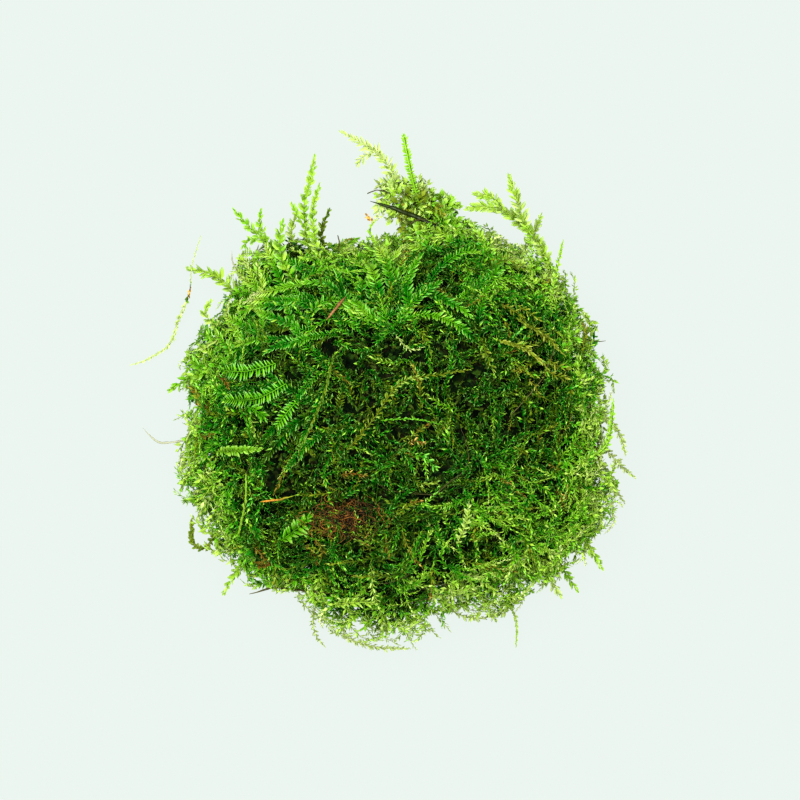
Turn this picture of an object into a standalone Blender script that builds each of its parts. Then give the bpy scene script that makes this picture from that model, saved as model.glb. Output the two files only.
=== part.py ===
"""A clump of feathery moss, picked and set down on its pressed-flat underside.

The tangled mat is one solid: a lumpy, flattened dome with pits, and a coat of
toothed fronds fused to it. The shoots that stand clear of the mat, and the
stems, scraps and fronds that lie on it, are solids of their own. Each one is
set in a socket or groove of the mat, with a small gap all round.

Lengths and places in the tables are millimetres. X runs to the right and Y
away from the viewer of a clump seen from above, Z is up, and Z = 0 is the
surface that the clump rests on.
"""

import math
import random

import bmesh
import bpy
from mathutils import Vector, noise
from mathutils.bvhtree import BVHTree

MM = 0.001
UP = Vector((0.0, 0.0, 1.0))
GAP = 0.3

# The mat's dome.
MAT_CENTRE = Vector((2.6, -5.4, 0.0))
MAT_HEIGHT = 30.0
MAT_RADII = (
    29.4, 29.8, 30.2, 31.4, 31.4, 31.0, 26.6, 27.0, 32.2, 31.0, 30.6, 30.0,
    30.8, 29.6, 31.0, 30.2, 28.2, 30.4, 29.8, 27.0, 29.6, 29.6, 32.4, 31.0,
)
MAT_PROFILE = (
    (0.00, 1.00), (0.34, 0.98), (0.65, 0.88), (0.88, 0.67), (1.00, 0.38),
    (0.95, 0.13), (0.76, 0.00), (0.40, 0.00), (0.00, 0.00),
)
MAT_SEGMENTS = 24
MAT_RINGS = 10
FLAT_ENOUGH = math.radians(4.0)
TOP_LOBE_PLACE = Vector((6.8, 23.4, 12.5))
TOP_LOBE_RADII = Vector((5.6, 6.6, 6.2))
TOP_LOBE_LUMPS = 0.6

# Broad lumps with finer ones on them. They fade in over the first millimetres above
# the surface that the mat rests on.
LUMP_SIZE = 9.0
LUMP_HEIGHT = 2.2
FINE_LUMP_SIZE = 0.45 * LUMP_SIZE
FINE_LUMP_SHARE = 0.5
LUMP_FADE = 6.0
PIT_RADIUS = 3.2
PIT_DEPTH = 3.0
PIT_LOWEST = 0.4 * MAT_HEIGHT
PITS = (
    (-21.8, 6.3), (-21.8, -5.7), (-16.0, -20.5), (9.8, -0.4), (16.0, -4.5),
    (21.0, -10.2), (2.2, -14.8), (6.0, -20.5), (-2.0, -9.8), (25.5, -8.0),
)

# The coat of fronds: how far down the dome each row is rooted, from the crown
# at 0 to the middle of the underside at 1, how many fronds it has, how long
# they are, and how far they stand up, from 0 along the dome to 1 straight out.
FROND_ROWS = (
    (0.02, 4, 13.0, 0.22),
    (0.11, 7, 14.0, 0.24),
    (0.21, 9, 14.5, 0.25),
    (0.31, 10, 14.0, 0.26),
    (0.42, 11, 11.5, 0.34),
    (0.53, 10, 9.5, 0.42),
)
FROND_HALF_WIDTH = 3.2
FROND_THICKNESS = 1.5
FROND_LEAF_PAIRS = 4
FROND_ROOT_DEPTH = 0.8
FROND_LOWEST = 2.0
FROND_SEED = 11
FROND_PATH_STEPS = 4

# How much the coat's fronds differ: in place along and across their row, in
# heading and bend in radians, and in size.
FROND_SHIFT = 0.2
FROND_ROW_SHIFT = 0.02
FROND_TURN = 0.7
FROND_BEND = 0.5
FROND_GROWTH = 0.15

TOP_LOBE_FRONDS = (
    ((7.6, 24.4, 14.0), (7.8, 28.0, 16.0), (6.6, 30.6, 15.6)),
    ((9.2, 23.4, 12.0), (12.0, 26.6, 13.2), (13.4, 29.0, 12.4)),
    ((5.6, 25.0, 11.5), (3.4, 29.0, 12.6), (1.2, 31.6, 12.0)),
    ((10.0, 20.8, 16.0), (12.8, 24.2, 18.0), (13.8, 26.8, 18.2)),
)
TOP_LOBE_FROND_SHARE = 0.8

# A blade's leaves stand out this far, as shares of its half width, at its root and
# tip, and all the way at its widest place. They lean towards the tip by the sweep,
# a share of the step between leaf pairs.
LEAF_ROOT_SPREAD = 0.55
LEAF_TIP_SPREAD = 0.38
LEAF_WIDEST_AT = 0.35
LEAF_TAPER_POWER = 1.5
LEAF_SWEEP = 0.9
NOTCH_SHARE = 0.35
BLADE_TAPER = 0.5
BLADE_TIP_STEP = 0.8

SHOOT_THICKNESS = 0.8
SHOOT_ROOT_SHARE = 0.65
SIDE_SHOOT_SHARE = 0.8
SIDE_SHOOT_THICKNESS = 0.9 * SHOOT_THICKNESS
STEM_SIDES = 5
STEM_TAPER = 0.4
STEM_FACING = Vector((0.1, 0.05, 1.0))

# A sheath cuts a piece's socket or groove as far as the piece comes this near
# the mat. Its straight runs leave the piece's own curve by no more than the slack,
# and it goes past the piece's ends by the overrun.
SHEATH_REACH = 2.0
SHEATH_SLACK = 0.15
SHEATH_OVERRUN = 1.5 * GAP

# Pieces that lie on the mat follow it at this many places, with their middles
# this far above it.
LAID_STATIONS = 6
LAID_RISE = 0.3

# The pad of rhizoids: its place, its radii, how far it slants, how uneven it is, and
# the groove that it lies in.
RHIZOID_PLACE = Vector((-4.2, -17.4))
RHIZOID_RADII = Vector((4.4, 2.4, 0.9))
RHIZOID_SLANT = 0.9
RHIZOID_SINK = 0.2
RHIZOID_RIPPLE = 0.35
RHIZOID_RIPPLES = 2.3
RHIZOID_GROOVE_HALF = Vector((4.8, 0.98, 0.0))
RHIZOID_GROOVE_WIDTH = 2.9
RHIZOID_GROOVE_DEPTH = 1.2

# How finely a curve is sampled before it is cut into even steps, and the small step
# that the dome's slopes are taken over.
CURVE_SAMPLES = 200
NUDGE = 0.01

LINEAR_COLOURS = {
    "deep_green": (0.030, 0.085, 0.006),
    "bright_green": (0.110, 0.300, 0.014),
    "pale_green": (0.330, 0.480, 0.090),
    "olive": (0.120, 0.145, 0.022),
    "brown": (0.130, 0.055, 0.018),
    "orange_brown": (0.330, 0.140, 0.030),
    "grey_brown": (0.150, 0.120, 0.080),
}
ROUGHNESS = {"green": 0.45, "dry": 0.7}


def clear_scene():
    for obj in list(bpy.data.objects):
        bpy.data.objects.remove(obj, do_unlink=True)


def material_named(name, colour):
    material = bpy.data.materials.new(name)
    material.use_nodes = True
    shader = material.node_tree.nodes["Principled BSDF"]
    shader.inputs["Base Color"].default_value = (*LINEAR_COLOURS[colour], 1.0)
    is_green = "green" in colour or colour == "olive"
    shader.inputs["Roughness"].default_value = ROUGHNESS["green" if is_green else "dry"]
    shader.inputs["Metallic"].default_value = 0.0
    return material


def new_object(name, mesh, colour=None):
    obj = bpy.data.objects.new(name, mesh)
    bpy.context.scene.collection.objects.link(obj)
    if colour:
        mesh.materials.clear()
        mesh.materials.append(material_named(name, colour))
    return obj


def mesh_from(work, name):
    """The bmesh as a mesh in metres, with its faces pointing out."""
    bmesh.ops.recalc_face_normals(work, faces=work.faces)
    bmesh.ops.scale(work, verts=work.verts, vec=(MM, MM, MM))
    mesh = bpy.data.meshes.new(name)
    work.to_mesh(mesh)
    work.free()
    return mesh


def vectors(points):
    return [Vector(point) for point in points]


def curve_point(points, t, closed=False):
    """A point on the smooth curve through the points, with t from 0 to 1."""
    spans = len(points) if closed else len(points) - 1
    place = min(max(t, 0.0), 1.0) * spans
    start = min(int(place), spans - 1)
    part = place - start

    def near(step):
        index = start + step
        if closed:
            return points[index % len(points)]
        if index < 0:
            return points[0] + (points[0] - points[1])
        if index >= len(points):
            return points[-1] + (points[-1] - points[-2])
        return points[index]

    before, here, after, beyond = near(-1), near(0), near(1), near(2)
    return 0.5 * (
        2.0 * here
        + (after - before) * part
        + (2.0 * before - 5.0 * here + 4.0 * after - beyond) * part**2
        + (3.0 * here - before - 3.0 * after + beyond) * part**3
    )


def even_points(points, count):
    """Count + 1 points at even steps along the smooth curve through the points."""
    fine = [curve_point(points, k / CURVE_SAMPLES) for k in range(CURVE_SAMPLES + 1)]
    run = [0.0]
    for first, second in zip(fine, fine[1:]):
        run.append(run[-1] + (second - first).length)
    spaced = []
    index = 0
    for k in range(count + 1):
        wanted = run[-1] * k / count
        while index < CURVE_SAMPLES - 1 and run[index + 1] < wanted:
            index += 1
        share = (wanted - run[index]) / max(run[index + 1] - run[index], 1e-9)
        spaced.append(fine[index].lerp(fine[index + 1], share))
    return spaced


def frames_along(places, facing):
    """The side and up directions at each place, with up as near facing as can be."""
    frames = []
    for index in range(len(places)):
        ahead = places[min(index + 1, len(places) - 1)]
        behind = places[max(index - 1, 0)]
        along = (ahead - behind).normalized()
        side = along.cross(facing).normalized()
        frames.append((side, side.cross(along).normalized()))
    return frames


# The mat.


def mat_point(angle, down):
    """A point of the smooth dome: down is 0 at the crown and 1 under its middle."""
    radii = [Vector((radius, 0.0)) for radius in MAT_RADII]
    reach = curve_point(radii, angle / math.tau % 1.0, closed=True).x
    profile = [Vector(pair) for pair in MAT_PROFILE]
    share, height = curve_point(profile, down)
    out = Vector((math.cos(angle), math.sin(angle), 0.0))
    up = Vector((0.0, 0.0, max(height, 0.0) * MAT_HEIGHT))
    return MAT_CENTRE + out * reach * max(share, 0.0) + up


def mat_facing(angle, down):
    """The way straight out of the dome here."""
    downhill = mat_point(angle, down + NUDGE) - mat_point(angle, down - NUDGE)
    around = mat_point(angle + NUDGE, down) - mat_point(angle - NUDGE, down)
    return downhill.cross(around).normalized()


def lump_at(place):
    """How far the mat swells or sinks here."""
    broad = noise.noise(place / LUMP_SIZE)
    fine = noise.noise(place / FINE_LUMP_SIZE)
    return LUMP_HEIGHT * (broad + FINE_LUMP_SHARE * fine)


def pit_at(place):
    """How deep a pit in the mat's top is here."""
    if place.z < PIT_LOWEST:
        return 0.0
    depth = 0.0
    for x, y in PITS:
        across = (Vector((x, y)) - place.xy).length
        depth = max(depth, PIT_DEPTH * math.exp(-((across / PIT_RADIUS) ** 2)))
    return depth


def swell_at(place):
    """How far the mat's skin stands out from the plain dome here."""
    return lump_at(place) * min(place.z / LUMP_FADE, 1.0) - pit_at(place)


def shaped_mat(place, way):
    """A point of the plain dome moved out for lumps and in for pits."""
    if place.z <= 0.0:
        return place
    swell = swell_at(place)
    out = Vector((way.x, way.y, max(way.z, 0.0))).normalized()
    moved = place + out * swell
    moved.z = max(moved.z, 0.0)
    return moved


def make_dome():
    work = bmesh.new()
    bmesh.ops.create_uvsphere(work, u_segments=MAT_SEGMENTS, v_segments=MAT_RINGS, radius=1.0)
    for vertex in work.verts:
        way = vertex.co.normalized()
        down = math.acos(max(-1.0, min(1.0, way.z))) / math.pi
        vertex.co = shaped_mat(mat_point(math.atan2(way.y, way.x), down), way)
    return new_object("moss_mass", mesh_from(work, "moss_mass"), "deep_green")


def make_top_lobe():
    work = bmesh.new()
    bmesh.ops.create_icosphere(work, subdivisions=2, radius=1.0)
    for vertex in work.verts:
        place = TOP_LOBE_PLACE + vertex.co * TOP_LOBE_RADII
        vertex.co = place + vertex.co * TOP_LOBE_LUMPS * lump_at(place)
    return bpy.data.objects.new("top_lobe", mesh_from(work, "top_lobe"))


# Leafy blades.


def leaf_spread(share):
    """How wide the leaves stand along a shoot, from its root at 0 to its tip at 1."""
    if share < LEAF_WIDEST_AT:
        return LEAF_ROOT_SPREAD + (1.0 - LEAF_ROOT_SPREAD) * share / LEAF_WIDEST_AT
    beyond = (share - LEAF_WIDEST_AT) / (1.0 - LEAF_WIDEST_AT)
    return 1.0 - (1.0 - LEAF_TIP_SPREAD) * beyond**LEAF_TAPER_POWER


def blade_places(path, leaf_pairs):
    """The stations between which a shoot's leaf pairs stand, and then its very tip."""
    places = even_points(path, leaf_pairs)
    return [*places, places[-1] + (places[-1] - places[-2]) * BLADE_TIP_STEP]


def add_blade(work, path, half_width, leaf_pairs, thickness, facing):
    """A shoot with a flat underside, a ridge along its top, and pointed leaves in pairs."""
    *places, tip_place = blade_places(path, leaf_pairs)
    frames = frames_along(places, facing)
    ridge, left, right = [], [], []
    for index, (place, (side, up)) in enumerate(zip(places, frames)):
        height = thickness * (1.0 - BLADE_TAPER * index / leaf_pairs)
        notch = side * min(half_width * NOTCH_SHARE, height)
        foot = place - up * height * 0.5
        ridge.append(work.verts.new(place + up * height * 0.5))
        left.append(work.verts.new(foot - notch))
        right.append(work.verts.new(foot + notch))
    tip = work.verts.new(tip_place)
    work.faces.new((ridge[0], left[0], right[0]))
    work.faces.new((ridge[-1], right[-1], tip))
    work.faces.new((ridge[-1], tip, left[-1]))
    work.faces.new((left[-1], tip, right[-1]))
    for index in range(leaf_pairs):
        spread = frames[index][0] * half_width * leaf_spread((index + 0.5) / leaf_pairs)
        reach = places[index].lerp(places[index + 1], LEAF_SWEEP)
        work.faces.new((left[index], left[index + 1], right[index + 1], right[index]))
        for notches, outward in ((left, -spread), (right, spread)):
            leaf = work.verts.new(reach + outward)
            work.faces.new((ridge[index], notches[index], leaf))
            work.faces.new((ridge[index], leaf, ridge[index + 1]))
            work.faces.new((ridge[index + 1], leaf, notches[index + 1]))
            work.faces.new((notches[index], notches[index + 1], leaf))


def add_stem(work, path, radius, stations):
    """A bare round stem that thins towards its tip."""
    places = even_points(path, stations)
    frames = frames_along(places, STEM_FACING)
    rings = []
    for index, (place, (side, up)) in enumerate(zip(places, frames)):
        width = radius * (1.0 - STEM_TAPER * index / stations)
        ring = []
        for corner in range(STEM_SIDES):
            turn = math.tau * corner / STEM_SIDES
            out = side * math.cos(turn) + up * math.sin(turn)
            ring.append(work.verts.new(place + out * width))
        rings.append(ring)
    for low, high in zip(rings, rings[1:]):
        for corner in range(STEM_SIDES):
            after = (corner + 1) % STEM_SIDES
            work.faces.new((low[corner], low[after], high[after], high[corner]))
    work.faces.new(rings[0])
    work.faces.new(rings[-1])


def thinned(places, slack):
    """The first and last places, and those between that the straight runs would miss."""
    first, last = places[0], places[-1]
    run = last - first
    offsets = []
    for place in places[1:-1]:
        share = (place - first).dot(run) / run.length_squared
        offsets.append((place - first - run * share).length)
    if not offsets or max(offsets) < slack:
        return [first, last]
    middle = offsets.index(max(offsets)) + 1
    return thinned(places[: middle + 1], slack)[:-1] + thinned(places[middle:], slack)


def add_sheath(work, places, half_width, half_thickness, root_share):
    """A plain closed sleeve round a piece, a gap wider than it on every side.

    The root share is how wide the piece is at its root, as a share of its half width.
    """
    places = thinned(places, SHEATH_SLACK)
    lead = (places[1] - places[0]).normalized() * SHEATH_OVERRUN
    trail = (places[-1] - places[-2]).normalized() * SHEATH_OVERRUN
    frames = frames_along(places, UP)
    places = [places[0] - lead, *places[1:-1], places[-1] + trail]
    thick = half_thickness + GAP + SHEATH_SLACK
    rings = []
    for index, (place, (side, up)) in enumerate(zip(places, frames)):
        share = index / (len(places) - 1)
        wide = half_width * (root_share + (1.0 - root_share) * share) + GAP + SHEATH_SLACK
        corners = ((wide, thick), (-wide, thick), (-wide, -thick), (wide, -thick))
        rings.append([work.verts.new(place + side * x + up * y) for x, y in corners])
    for low, high in zip(rings, rings[1:]):
        for corner in range(4):
            after = (corner + 1) % 4
            work.faces.new((low[corner], low[after], high[after], high[corner]))
    work.faces.new(rings[0])
    work.faces.new(rings[-1])


def add_frond(fronds, path, half_width, facing):
    work = bmesh.new()
    add_blade(work, path, half_width, FROND_LEAF_PAIRS, FROND_THICKNESS, facing)
    fronds.objects.link(bpy.data.objects.new("frond", mesh_from(work, "frond")))


def make_fronds():
    """The coat of fronds over the dome, each rooted a little under its surface."""
    chance = random.Random(FROND_SEED)
    fronds = bpy.data.collections.new("fronds")
    bpy.context.scene.collection.children.link(fronds)
    for row, (root, count, length, stand) in enumerate(FROND_ROWS):
        for number in range(count):
            shift = chance.uniform(-FROND_SHIFT, FROND_SHIFT)
            angle = math.tau * (number + 0.5 * (row % 2) + shift) / count
            down = root + chance.uniform(-FROND_ROW_SHIFT, FROND_ROW_SHIFT)
            heading = chance.uniform(-FROND_TURN, FROND_TURN)
            bend = chance.uniform(-FROND_BEND, FROND_BEND)
            reach = length * chance.uniform(1.0 - FROND_GROWTH, 1.0 + FROND_GROWTH)
            path = frond_path(angle, down, heading, bend, reach, stand)
            half_width = FROND_HALF_WIDTH * chance.uniform(1.0 - FROND_GROWTH, 1.0 + FROND_GROWTH)
            add_frond(fronds, path, half_width, mat_facing(angle, down))
    for path in TOP_LOBE_FRONDS:
        add_frond(fronds, vectors(path), FROND_HALF_WIDTH * TOP_LOBE_FROND_SHARE, UP)
    return fronds


def frond_path(angle, down, heading, bend, length, stand):
    """Points that leave the dome as they run along it: heading 0 is down its slope."""
    path = []
    stride = length * (1.0 - stand) / FROND_PATH_STEPS
    for step in range(FROND_PATH_STEPS + 1):
        share = step / FROND_PATH_STEPS
        place = mat_point(angle, down)
        rise = length * stand * math.sin(0.5 * math.pi * share)
        moved = place + mat_facing(angle, down) * (swell_at(place) + rise - FROND_ROOT_DEPTH)
        moved.z = max(moved.z, FROND_LOWEST)
        path.append(moved)
        turn = heading + bend * share
        down_rate = (mat_point(angle, down + NUDGE) - place).length / NUDGE
        around_rate = max((mat_point(angle + NUDGE, down) - place).length / NUDGE, 1.0)
        down += stride * math.cos(turn) / down_rate
        angle += stride * math.sin(turn) / around_rate
    return path


def in_steady_order(mesh):
    """The same mesh, with its vertices and faces in an order that only their places set.

    A Boolean gives the same faces in another order from one run to the next, and what
    is done to them next would then come out a little differently.
    """
    places = [vertex.co.copy() for vertex in mesh.vertices]
    order = sorted(range(len(places)), key=lambda index: places[index][:])
    rank = {index: place for place, index in enumerate(order)}
    faces = []
    for face in mesh.polygons:
        corners = [rank[index] for index in face.vertices]
        first = corners.index(min(corners))
        faces.append(corners[first:] + corners[:first])
    steady = bpy.data.meshes.new(mesh.name)
    steady.from_pydata([places[index] for index in order], [], sorted(faces))
    return steady


def combine(target, operands, operation):
    """Joins the collection's solids to the target, or cuts them out of it."""
    modifier = target.modifiers.new(operation.title(), "BOOLEAN")
    modifier.operation = operation
    modifier.operand_type = "COLLECTION"
    modifier.collection = operands
    modifier.solver = "EXACT"
    graph = bpy.context.evaluated_depsgraph_get()
    mesh = bpy.data.meshes.new_from_object(target.evaluated_get(graph))
    target.modifiers.remove(modifier)
    target.data = in_steady_order(mesh)
    for obj in list(operands.objects):
        bpy.data.objects.remove(obj, do_unlink=True)
    bpy.data.collections.remove(operands)


def tidy_mat(obj):
    """Drops crumbs that a groove has cut loose, and joins faces that lie in one plane."""
    work = bmesh.new()
    work.from_mesh(obj.data)
    unseen = set(work.verts)
    islands = []
    while unseen:
        island = set()
        front = [unseen.pop()]
        while front:
            vertex = front.pop()
            island.add(vertex)
            for edge in vertex.link_edges:
                other = edge.other_vert(vertex)
                if other in unseen:
                    unseen.remove(other)
                    front.append(other)
        islands.append(island)
    largest = max(islands, key=len)
    crumbs = [vertex for island in islands if island is not largest for vertex in island]
    bmesh.ops.delete(work, geom=crumbs, context="VERTS")
    bmesh.ops.dissolve_limit(work, angle_limit=FLAT_ENOUGH, verts=work.verts, edges=work.edges)
    bmesh.ops.triangulate(work, faces=work.faces)
    work.to_mesh(obj.data)
    work.free()


# The pieces that are solids of their own.

class Sockets:
    """The mat's surface, and the sheaths that will be cut out of the mat."""

    def __init__(self, mat):
        self.surface = BVHTree.FromObject(mat, bpy.context.evaluated_depsgraph_get())
        self.sheaths = bpy.data.collections.new("sheaths")
        bpy.context.scene.collection.children.link(self.sheaths)

    def height(self, x, y):
        """The mat's top surface here, in millimetres."""
        hit = self.surface.ray_cast(Vector((x * MM, y * MM, 1.0)), -UP)[0]
        return hit.z / MM

    def is_near(self, place):
        """Whether a place is inside the mat or within SHEATH_REACH of it."""
        near, normal, _, distance = self.surface.find_nearest(place * MM)
        outside = (place * MM - near).dot(normal) > 0.0
        return not outside or distance < SHEATH_REACH * MM

    def cut(self, places, half_width, half_thickness, root_share=1.0):
        """Adds the sheath of a piece that runs through these places."""
        last = max((k for k, place in enumerate(places) if self.is_near(place)), default=0)
        last = min(max(last + 1, 2), len(places) - 1)
        work = bmesh.new()
        add_sheath(work, places[: last + 1], half_width, half_thickness, root_share)
        self.sheaths.objects.link(bpy.data.objects.new("sheath", mesh_from(work, "sheath")))


def leafy_shoot(sockets, name, colour, path, half_width, leaf_pairs, branches=()):
    """A shoot and its side branches, each given as its path and its leaf pairs."""
    path = vectors(path)
    work = bmesh.new()
    add_blade(work, path, half_width, leaf_pairs, SHOOT_THICKNESS, UP)
    shoot = new_object(name, mesh_from(work, name), colour)
    sockets.cut(blade_places(path, leaf_pairs), half_width, SHOOT_THICKNESS * 0.5,
                SHOOT_ROOT_SHARE)
    if not branches:
        return
    side_shoots = bpy.data.collections.new("side_shoots")
    bpy.context.scene.collection.children.link(side_shoots)
    for branch, pairs in branches:
        work = bmesh.new()
        side_width = half_width * SIDE_SHOOT_SHARE
        add_blade(work, vectors(branch), side_width, pairs, SIDE_SHOOT_THICKNESS, UP)
        side_shoots.objects.link(bpy.data.objects.new("side", mesh_from(work, "side")))
    combine(shoot, side_shoots, "UNION")
    shoot.data.materials.clear()
    shoot.data.materials.append(material_named(name, colour))


def bare_stem(sockets, name, colour, path, radius, stations=4):
    path = vectors(path)
    work = bmesh.new()
    add_stem(work, path, radius, stations)
    stem = new_object(name, mesh_from(work, name), colour)
    stem.data.shade_smooth()
    sockets.cut(even_points(path, stations), radius, radius)


def rim_shoots(sockets):
    """Shoots and old stems that stand clear of the mat's edge, clockwise from the left."""
    bare_stem(sockets, "left_wire", "grey_brown",
              [(-27.0, -7.0, 10.0), (-31.8, -7.6, 9.6), (-33.6, -7.4, 9.0), (-35.7, -5.4, 8.6)],
              0.4)
    leafy_shoot(sockets, "left_upper_sprig", "olive",
                [(-24.0, 3.8, 12.0), (-28.5, 2.1, 12.4), (-31.6, 0.3, 11.6)], 1.3, 5)
    leafy_shoot(sockets, "top_left_tip", "pale_green",
                [(-21.5, 8.0, 13.0), (-26.1, 11.3, 13.6), (-25.4, 13.6, 14.0)], 1.0, 5)
    leafy_shoot(sockets, "left_shoulder_shoot", "pale_green",
                [(-19.0, 12.4, 8.6), (-24.0, 17.0, 7.6), (-26.2, 18.0, 6.4), (-29.0, 18.7, 5.0)],
                1.3, 7)
    leafy_shoot(sockets, "far_left_strand", "pale_green",
                [(-27.0, 23.6, 6.2), (-28.4, 19.0, 6.4), (-28.8, 15.1, 4.2), (-30.6, 10.8, 1.8),
                 (-32.0, 7.2, 1.0), (-35.4, 4.9, 1.0), (-37.8, 4.1, 1.2)], 0.75, 11)
    bare_stem(sockets, "left_hair", "grey_brown",
              [(-19.4, 15.2, 12.0), (-21.8, 18.8, 13.4), (-22.2, 21.2, 14.4)], 0.35)
    leafy_shoot(sockets, "upper_left_sprig", "bright_green",
                [(-12.6, 17.0, 13.6), (-15.8, 21.4, 14.6), (-19.2, 24.2, 15.2), (-21.8, 27.2, 15.0)],
                1.2, 7,
                branches=[([(-16.8, 22.4, 14.8), (-18.0, 25.0, 15.2), (-17.8, 27.2, 15.0)], 3),
                          ([(-17.6, 23.0, 15.0), (-19.8, 22.6, 15.2), (-20.6, 21.6, 15.0)], 2)])
    leafy_shoot(sockets, "short_broad_shoot", "bright_green",
                [(-12.6, 16.0, 19.2), (-15.0, 21.0, 20.0), (-14.4, 25.5, 20.0)], 1.3, 5)
    leafy_shoot(sockets, "short_pale_shoot", "pale_green",
                [(-11.4, 19.0, 8.4), (-13.4, 23.4, 8.4), (-12.8, 26.6, 8.0)], 1.1, 5)
    leafy_shoot(sockets, "tall_sprig", "bright_green",
                [(-10.0, 18.5, 13.0), (-11.1, 23.5, 14.0), (-11.4, 28.1, 15.5), (-10.4, 31.6, 16.0),
                 (-9.8, 35.2, 15.6)], 1.1, 9,
                branches=[([(-11.2, 24.6, 14.3), (-12.4, 26.4, 14.8), (-13.2, 28.2, 14.8)], 3)])
    leafy_shoot(sockets, "second_tall_sprig", "bright_green",
                [(-8.4, 17.5, 18.0), (-9.8, 23.0, 18.6), (-10.0, 27.1, 18.8), (-9.0, 31.0, 18.6)],
                1.0, 7)
    leafy_shoot(sockets, "third_tall_sprig", "olive",
                [(-7.4, 18.5, 9.6), (-8.9, 23.4, 10.4), (-7.6, 27.4, 10.6)], 0.9, 5)
    leafy_shoot(sockets, "orange_bud_sprig", "orange_brown",
                [(2.0, 18.5, 16.0), (-1.4, 23.4, 17.4), (-0.6, 26.4, 17.6)], 0.9, 5)
    bare_stem(sockets, "top_dark_stem", "grey_brown",
              [(-1.5, 28.5, 15.8), (2.7, 27.2, 16.8), (5.6, 26.0, 17.8), (9.3, 24.2, 18.4)], 0.35)
    leafy_shoot(sockets, "pale_top_frond", "pale_green",
                [(5.4, 25.0, 12.0), (2.5, 31.4, 14.0), (0.1, 35.3, 14.6), (-3.0, 37.4, 14.0),
                 (-5.8, 39.0, 13.0)], 1.2, 10,
                branches=[([(-0.6, 35.9, 14.5), (-2.4, 35.2, 14.8), (-3.4, 34.0, 14.8)], 3)])
    leafy_shoot(sockets, "upright_top_shoot", "bright_green",
                [(6.4, 26.4, 15.5), (4.9, 31.4, 17.6), (4.0, 35.6, 18.2), (3.5, 38.2, 18.2)],
                0.95, 8)
    leafy_shoot(sockets, "top_arc_shoot", "bright_green",
                [(16.6, 17.4, 18.4), (15.6, 22.1, 20.2), (13.4, 25.3, 20.4)], 1.0, 5)
    leafy_shoot(sockets, "arching_shoot", "bright_green",
                [(26.4, 16.0, 12.0), (23.6, 22.4, 13.8), (19.4, 26.6, 15.0), (16.0, 27.6, 15.4),
                 (13.4, 27.4, 15.2)], 1.0, 8,
                branches=[([(18.6, 27.0, 15.2), (16.8, 29.0, 15.8), (14.4, 29.6, 15.8)], 3)])
    leafy_shoot(sockets, "upright_right_frond", "bright_green",
                [(22.0, 15.0, 17.6), (22.6, 21.6, 18.8), (20.8, 27.2, 19.2), (19.3, 32.0, 19.0)],
                1.5, 8)
    leafy_shoot(sockets, "right_shoulder_sprig", "pale_green",
                [(20.0, 18.0, 8.6), (22.6, 23.0, 9.6), (24.2, 26.6, 9.8)], 1.1, 5)
    leafy_shoot(sockets, "right_shoulder_stem", "pale_green",
                [(25.0, 11.0, 17.0), (26.2, 17.4, 18.0), (27.3, 22.5, 18.4)], 0.6, 7)
    leafy_shoot(sockets, "right_shoot", "bright_green",
                [(29.0, -11.0, 17.0), (33.4, -8.4, 18.0), (34.4, -5.0, 18.2), (34.8, -1.2, 18.0)],
                1.1, 7)
    leafy_shoot(sockets, "right_strand", "pale_green",
                [(30.0, -0.5, 13.0), (34.4, -4.4, 13.4), (36.2, -7.0, 13.0), (36.8, -9.4, 12.4)],
                0.8, 6)
    leafy_shoot(sockets, "right_low_strand", "pale_green",
                [(30.0, -5.6, 9.6), (34.0, -8.7, 9.0), (36.8, -11.6, 7.8), (38.4, -12.9, 7.0)],
                0.85, 7)
    leafy_shoot(sockets, "right_drop_strand", "pale_green",
                [(30.4, -8.4, 5.6), (34.0, -11.4, 4.8), (35.6, -14.6, 3.4), (37.0, -16.8, 2.4)],
                0.7, 6)
    leafy_shoot(sockets, "lower_right_sprig_1", "bright_green",
                [(26.6, -18.6, 13.0), (31.0, -22.8, 12.4), (33.4, -26.6, 11.0)], 1.1, 5)
    leafy_shoot(sockets, "lower_right_sprig_2", "bright_green",
                [(24.0, -21.6, 8.6), (27.4, -26.6, 7.6), (29.8, -30.0, 6.2)], 1.1, 5)
    leafy_shoot(sockets, "lower_right_sprig_3", "pale_green",
                [(20.6, -24.0, 11.0), (25.0, -27.6, 10.4), (27.2, -30.8, 9.0)], 1.1, 5)
    leafy_shoot(sockets, "lower_right_stem", "pale_green",
                [(15.0, -26.5, 8.4), (18.6, -30.8, 7.0), (20.5, -34.4, 4.0), (20.6, -38.6, 1.2)],
                0.6, 8)
    leafy_shoot(sockets, "lower_right_arc", "pale_green",
                [(7.6, -28.0, 9.0), (10.4, -32.6, 8.0), (14.6, -34.2, 6.4), (18.0, -33.4, 5.0)],
                0.8, 6)
    leafy_shoot(sockets, "bottom_arc", "pale_green",
                [(-5.6, -32.0, 5.4), (-5.4, -36.6, 4.0), (-0.8, -38.6, 2.6), (4.4, -38.9, 1.4)],
                0.8, 7)
    leafy_shoot(sockets, "bottom_left_strand", "pale_green",
                [(-8.0, -27.4, 8.0), (-10.0, -33.4, 5.8), (-9.8, -36.6, 3.4), (-8.4, -38.6, 1.4)],
                0.8, 7)
    leafy_shoot(sockets, "lower_left_sprig", "bright_green",
                [(-17.4, -22.0, 9.0), (-21.6, -27.0, 8.4), (-23.6, -30.4, 7.0)], 1.1, 5)
    leafy_shoot(sockets, "left_curl", "pale_green",
                [(-21.0, -17.2, 9.6), (-24.8, -21.6, 9.4), (-26.4, -23.6, 9.0),
                 (-28.2, -22.6, 8.6), (-28.4, -19.4, 8.2)], 0.7, 8)


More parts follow.
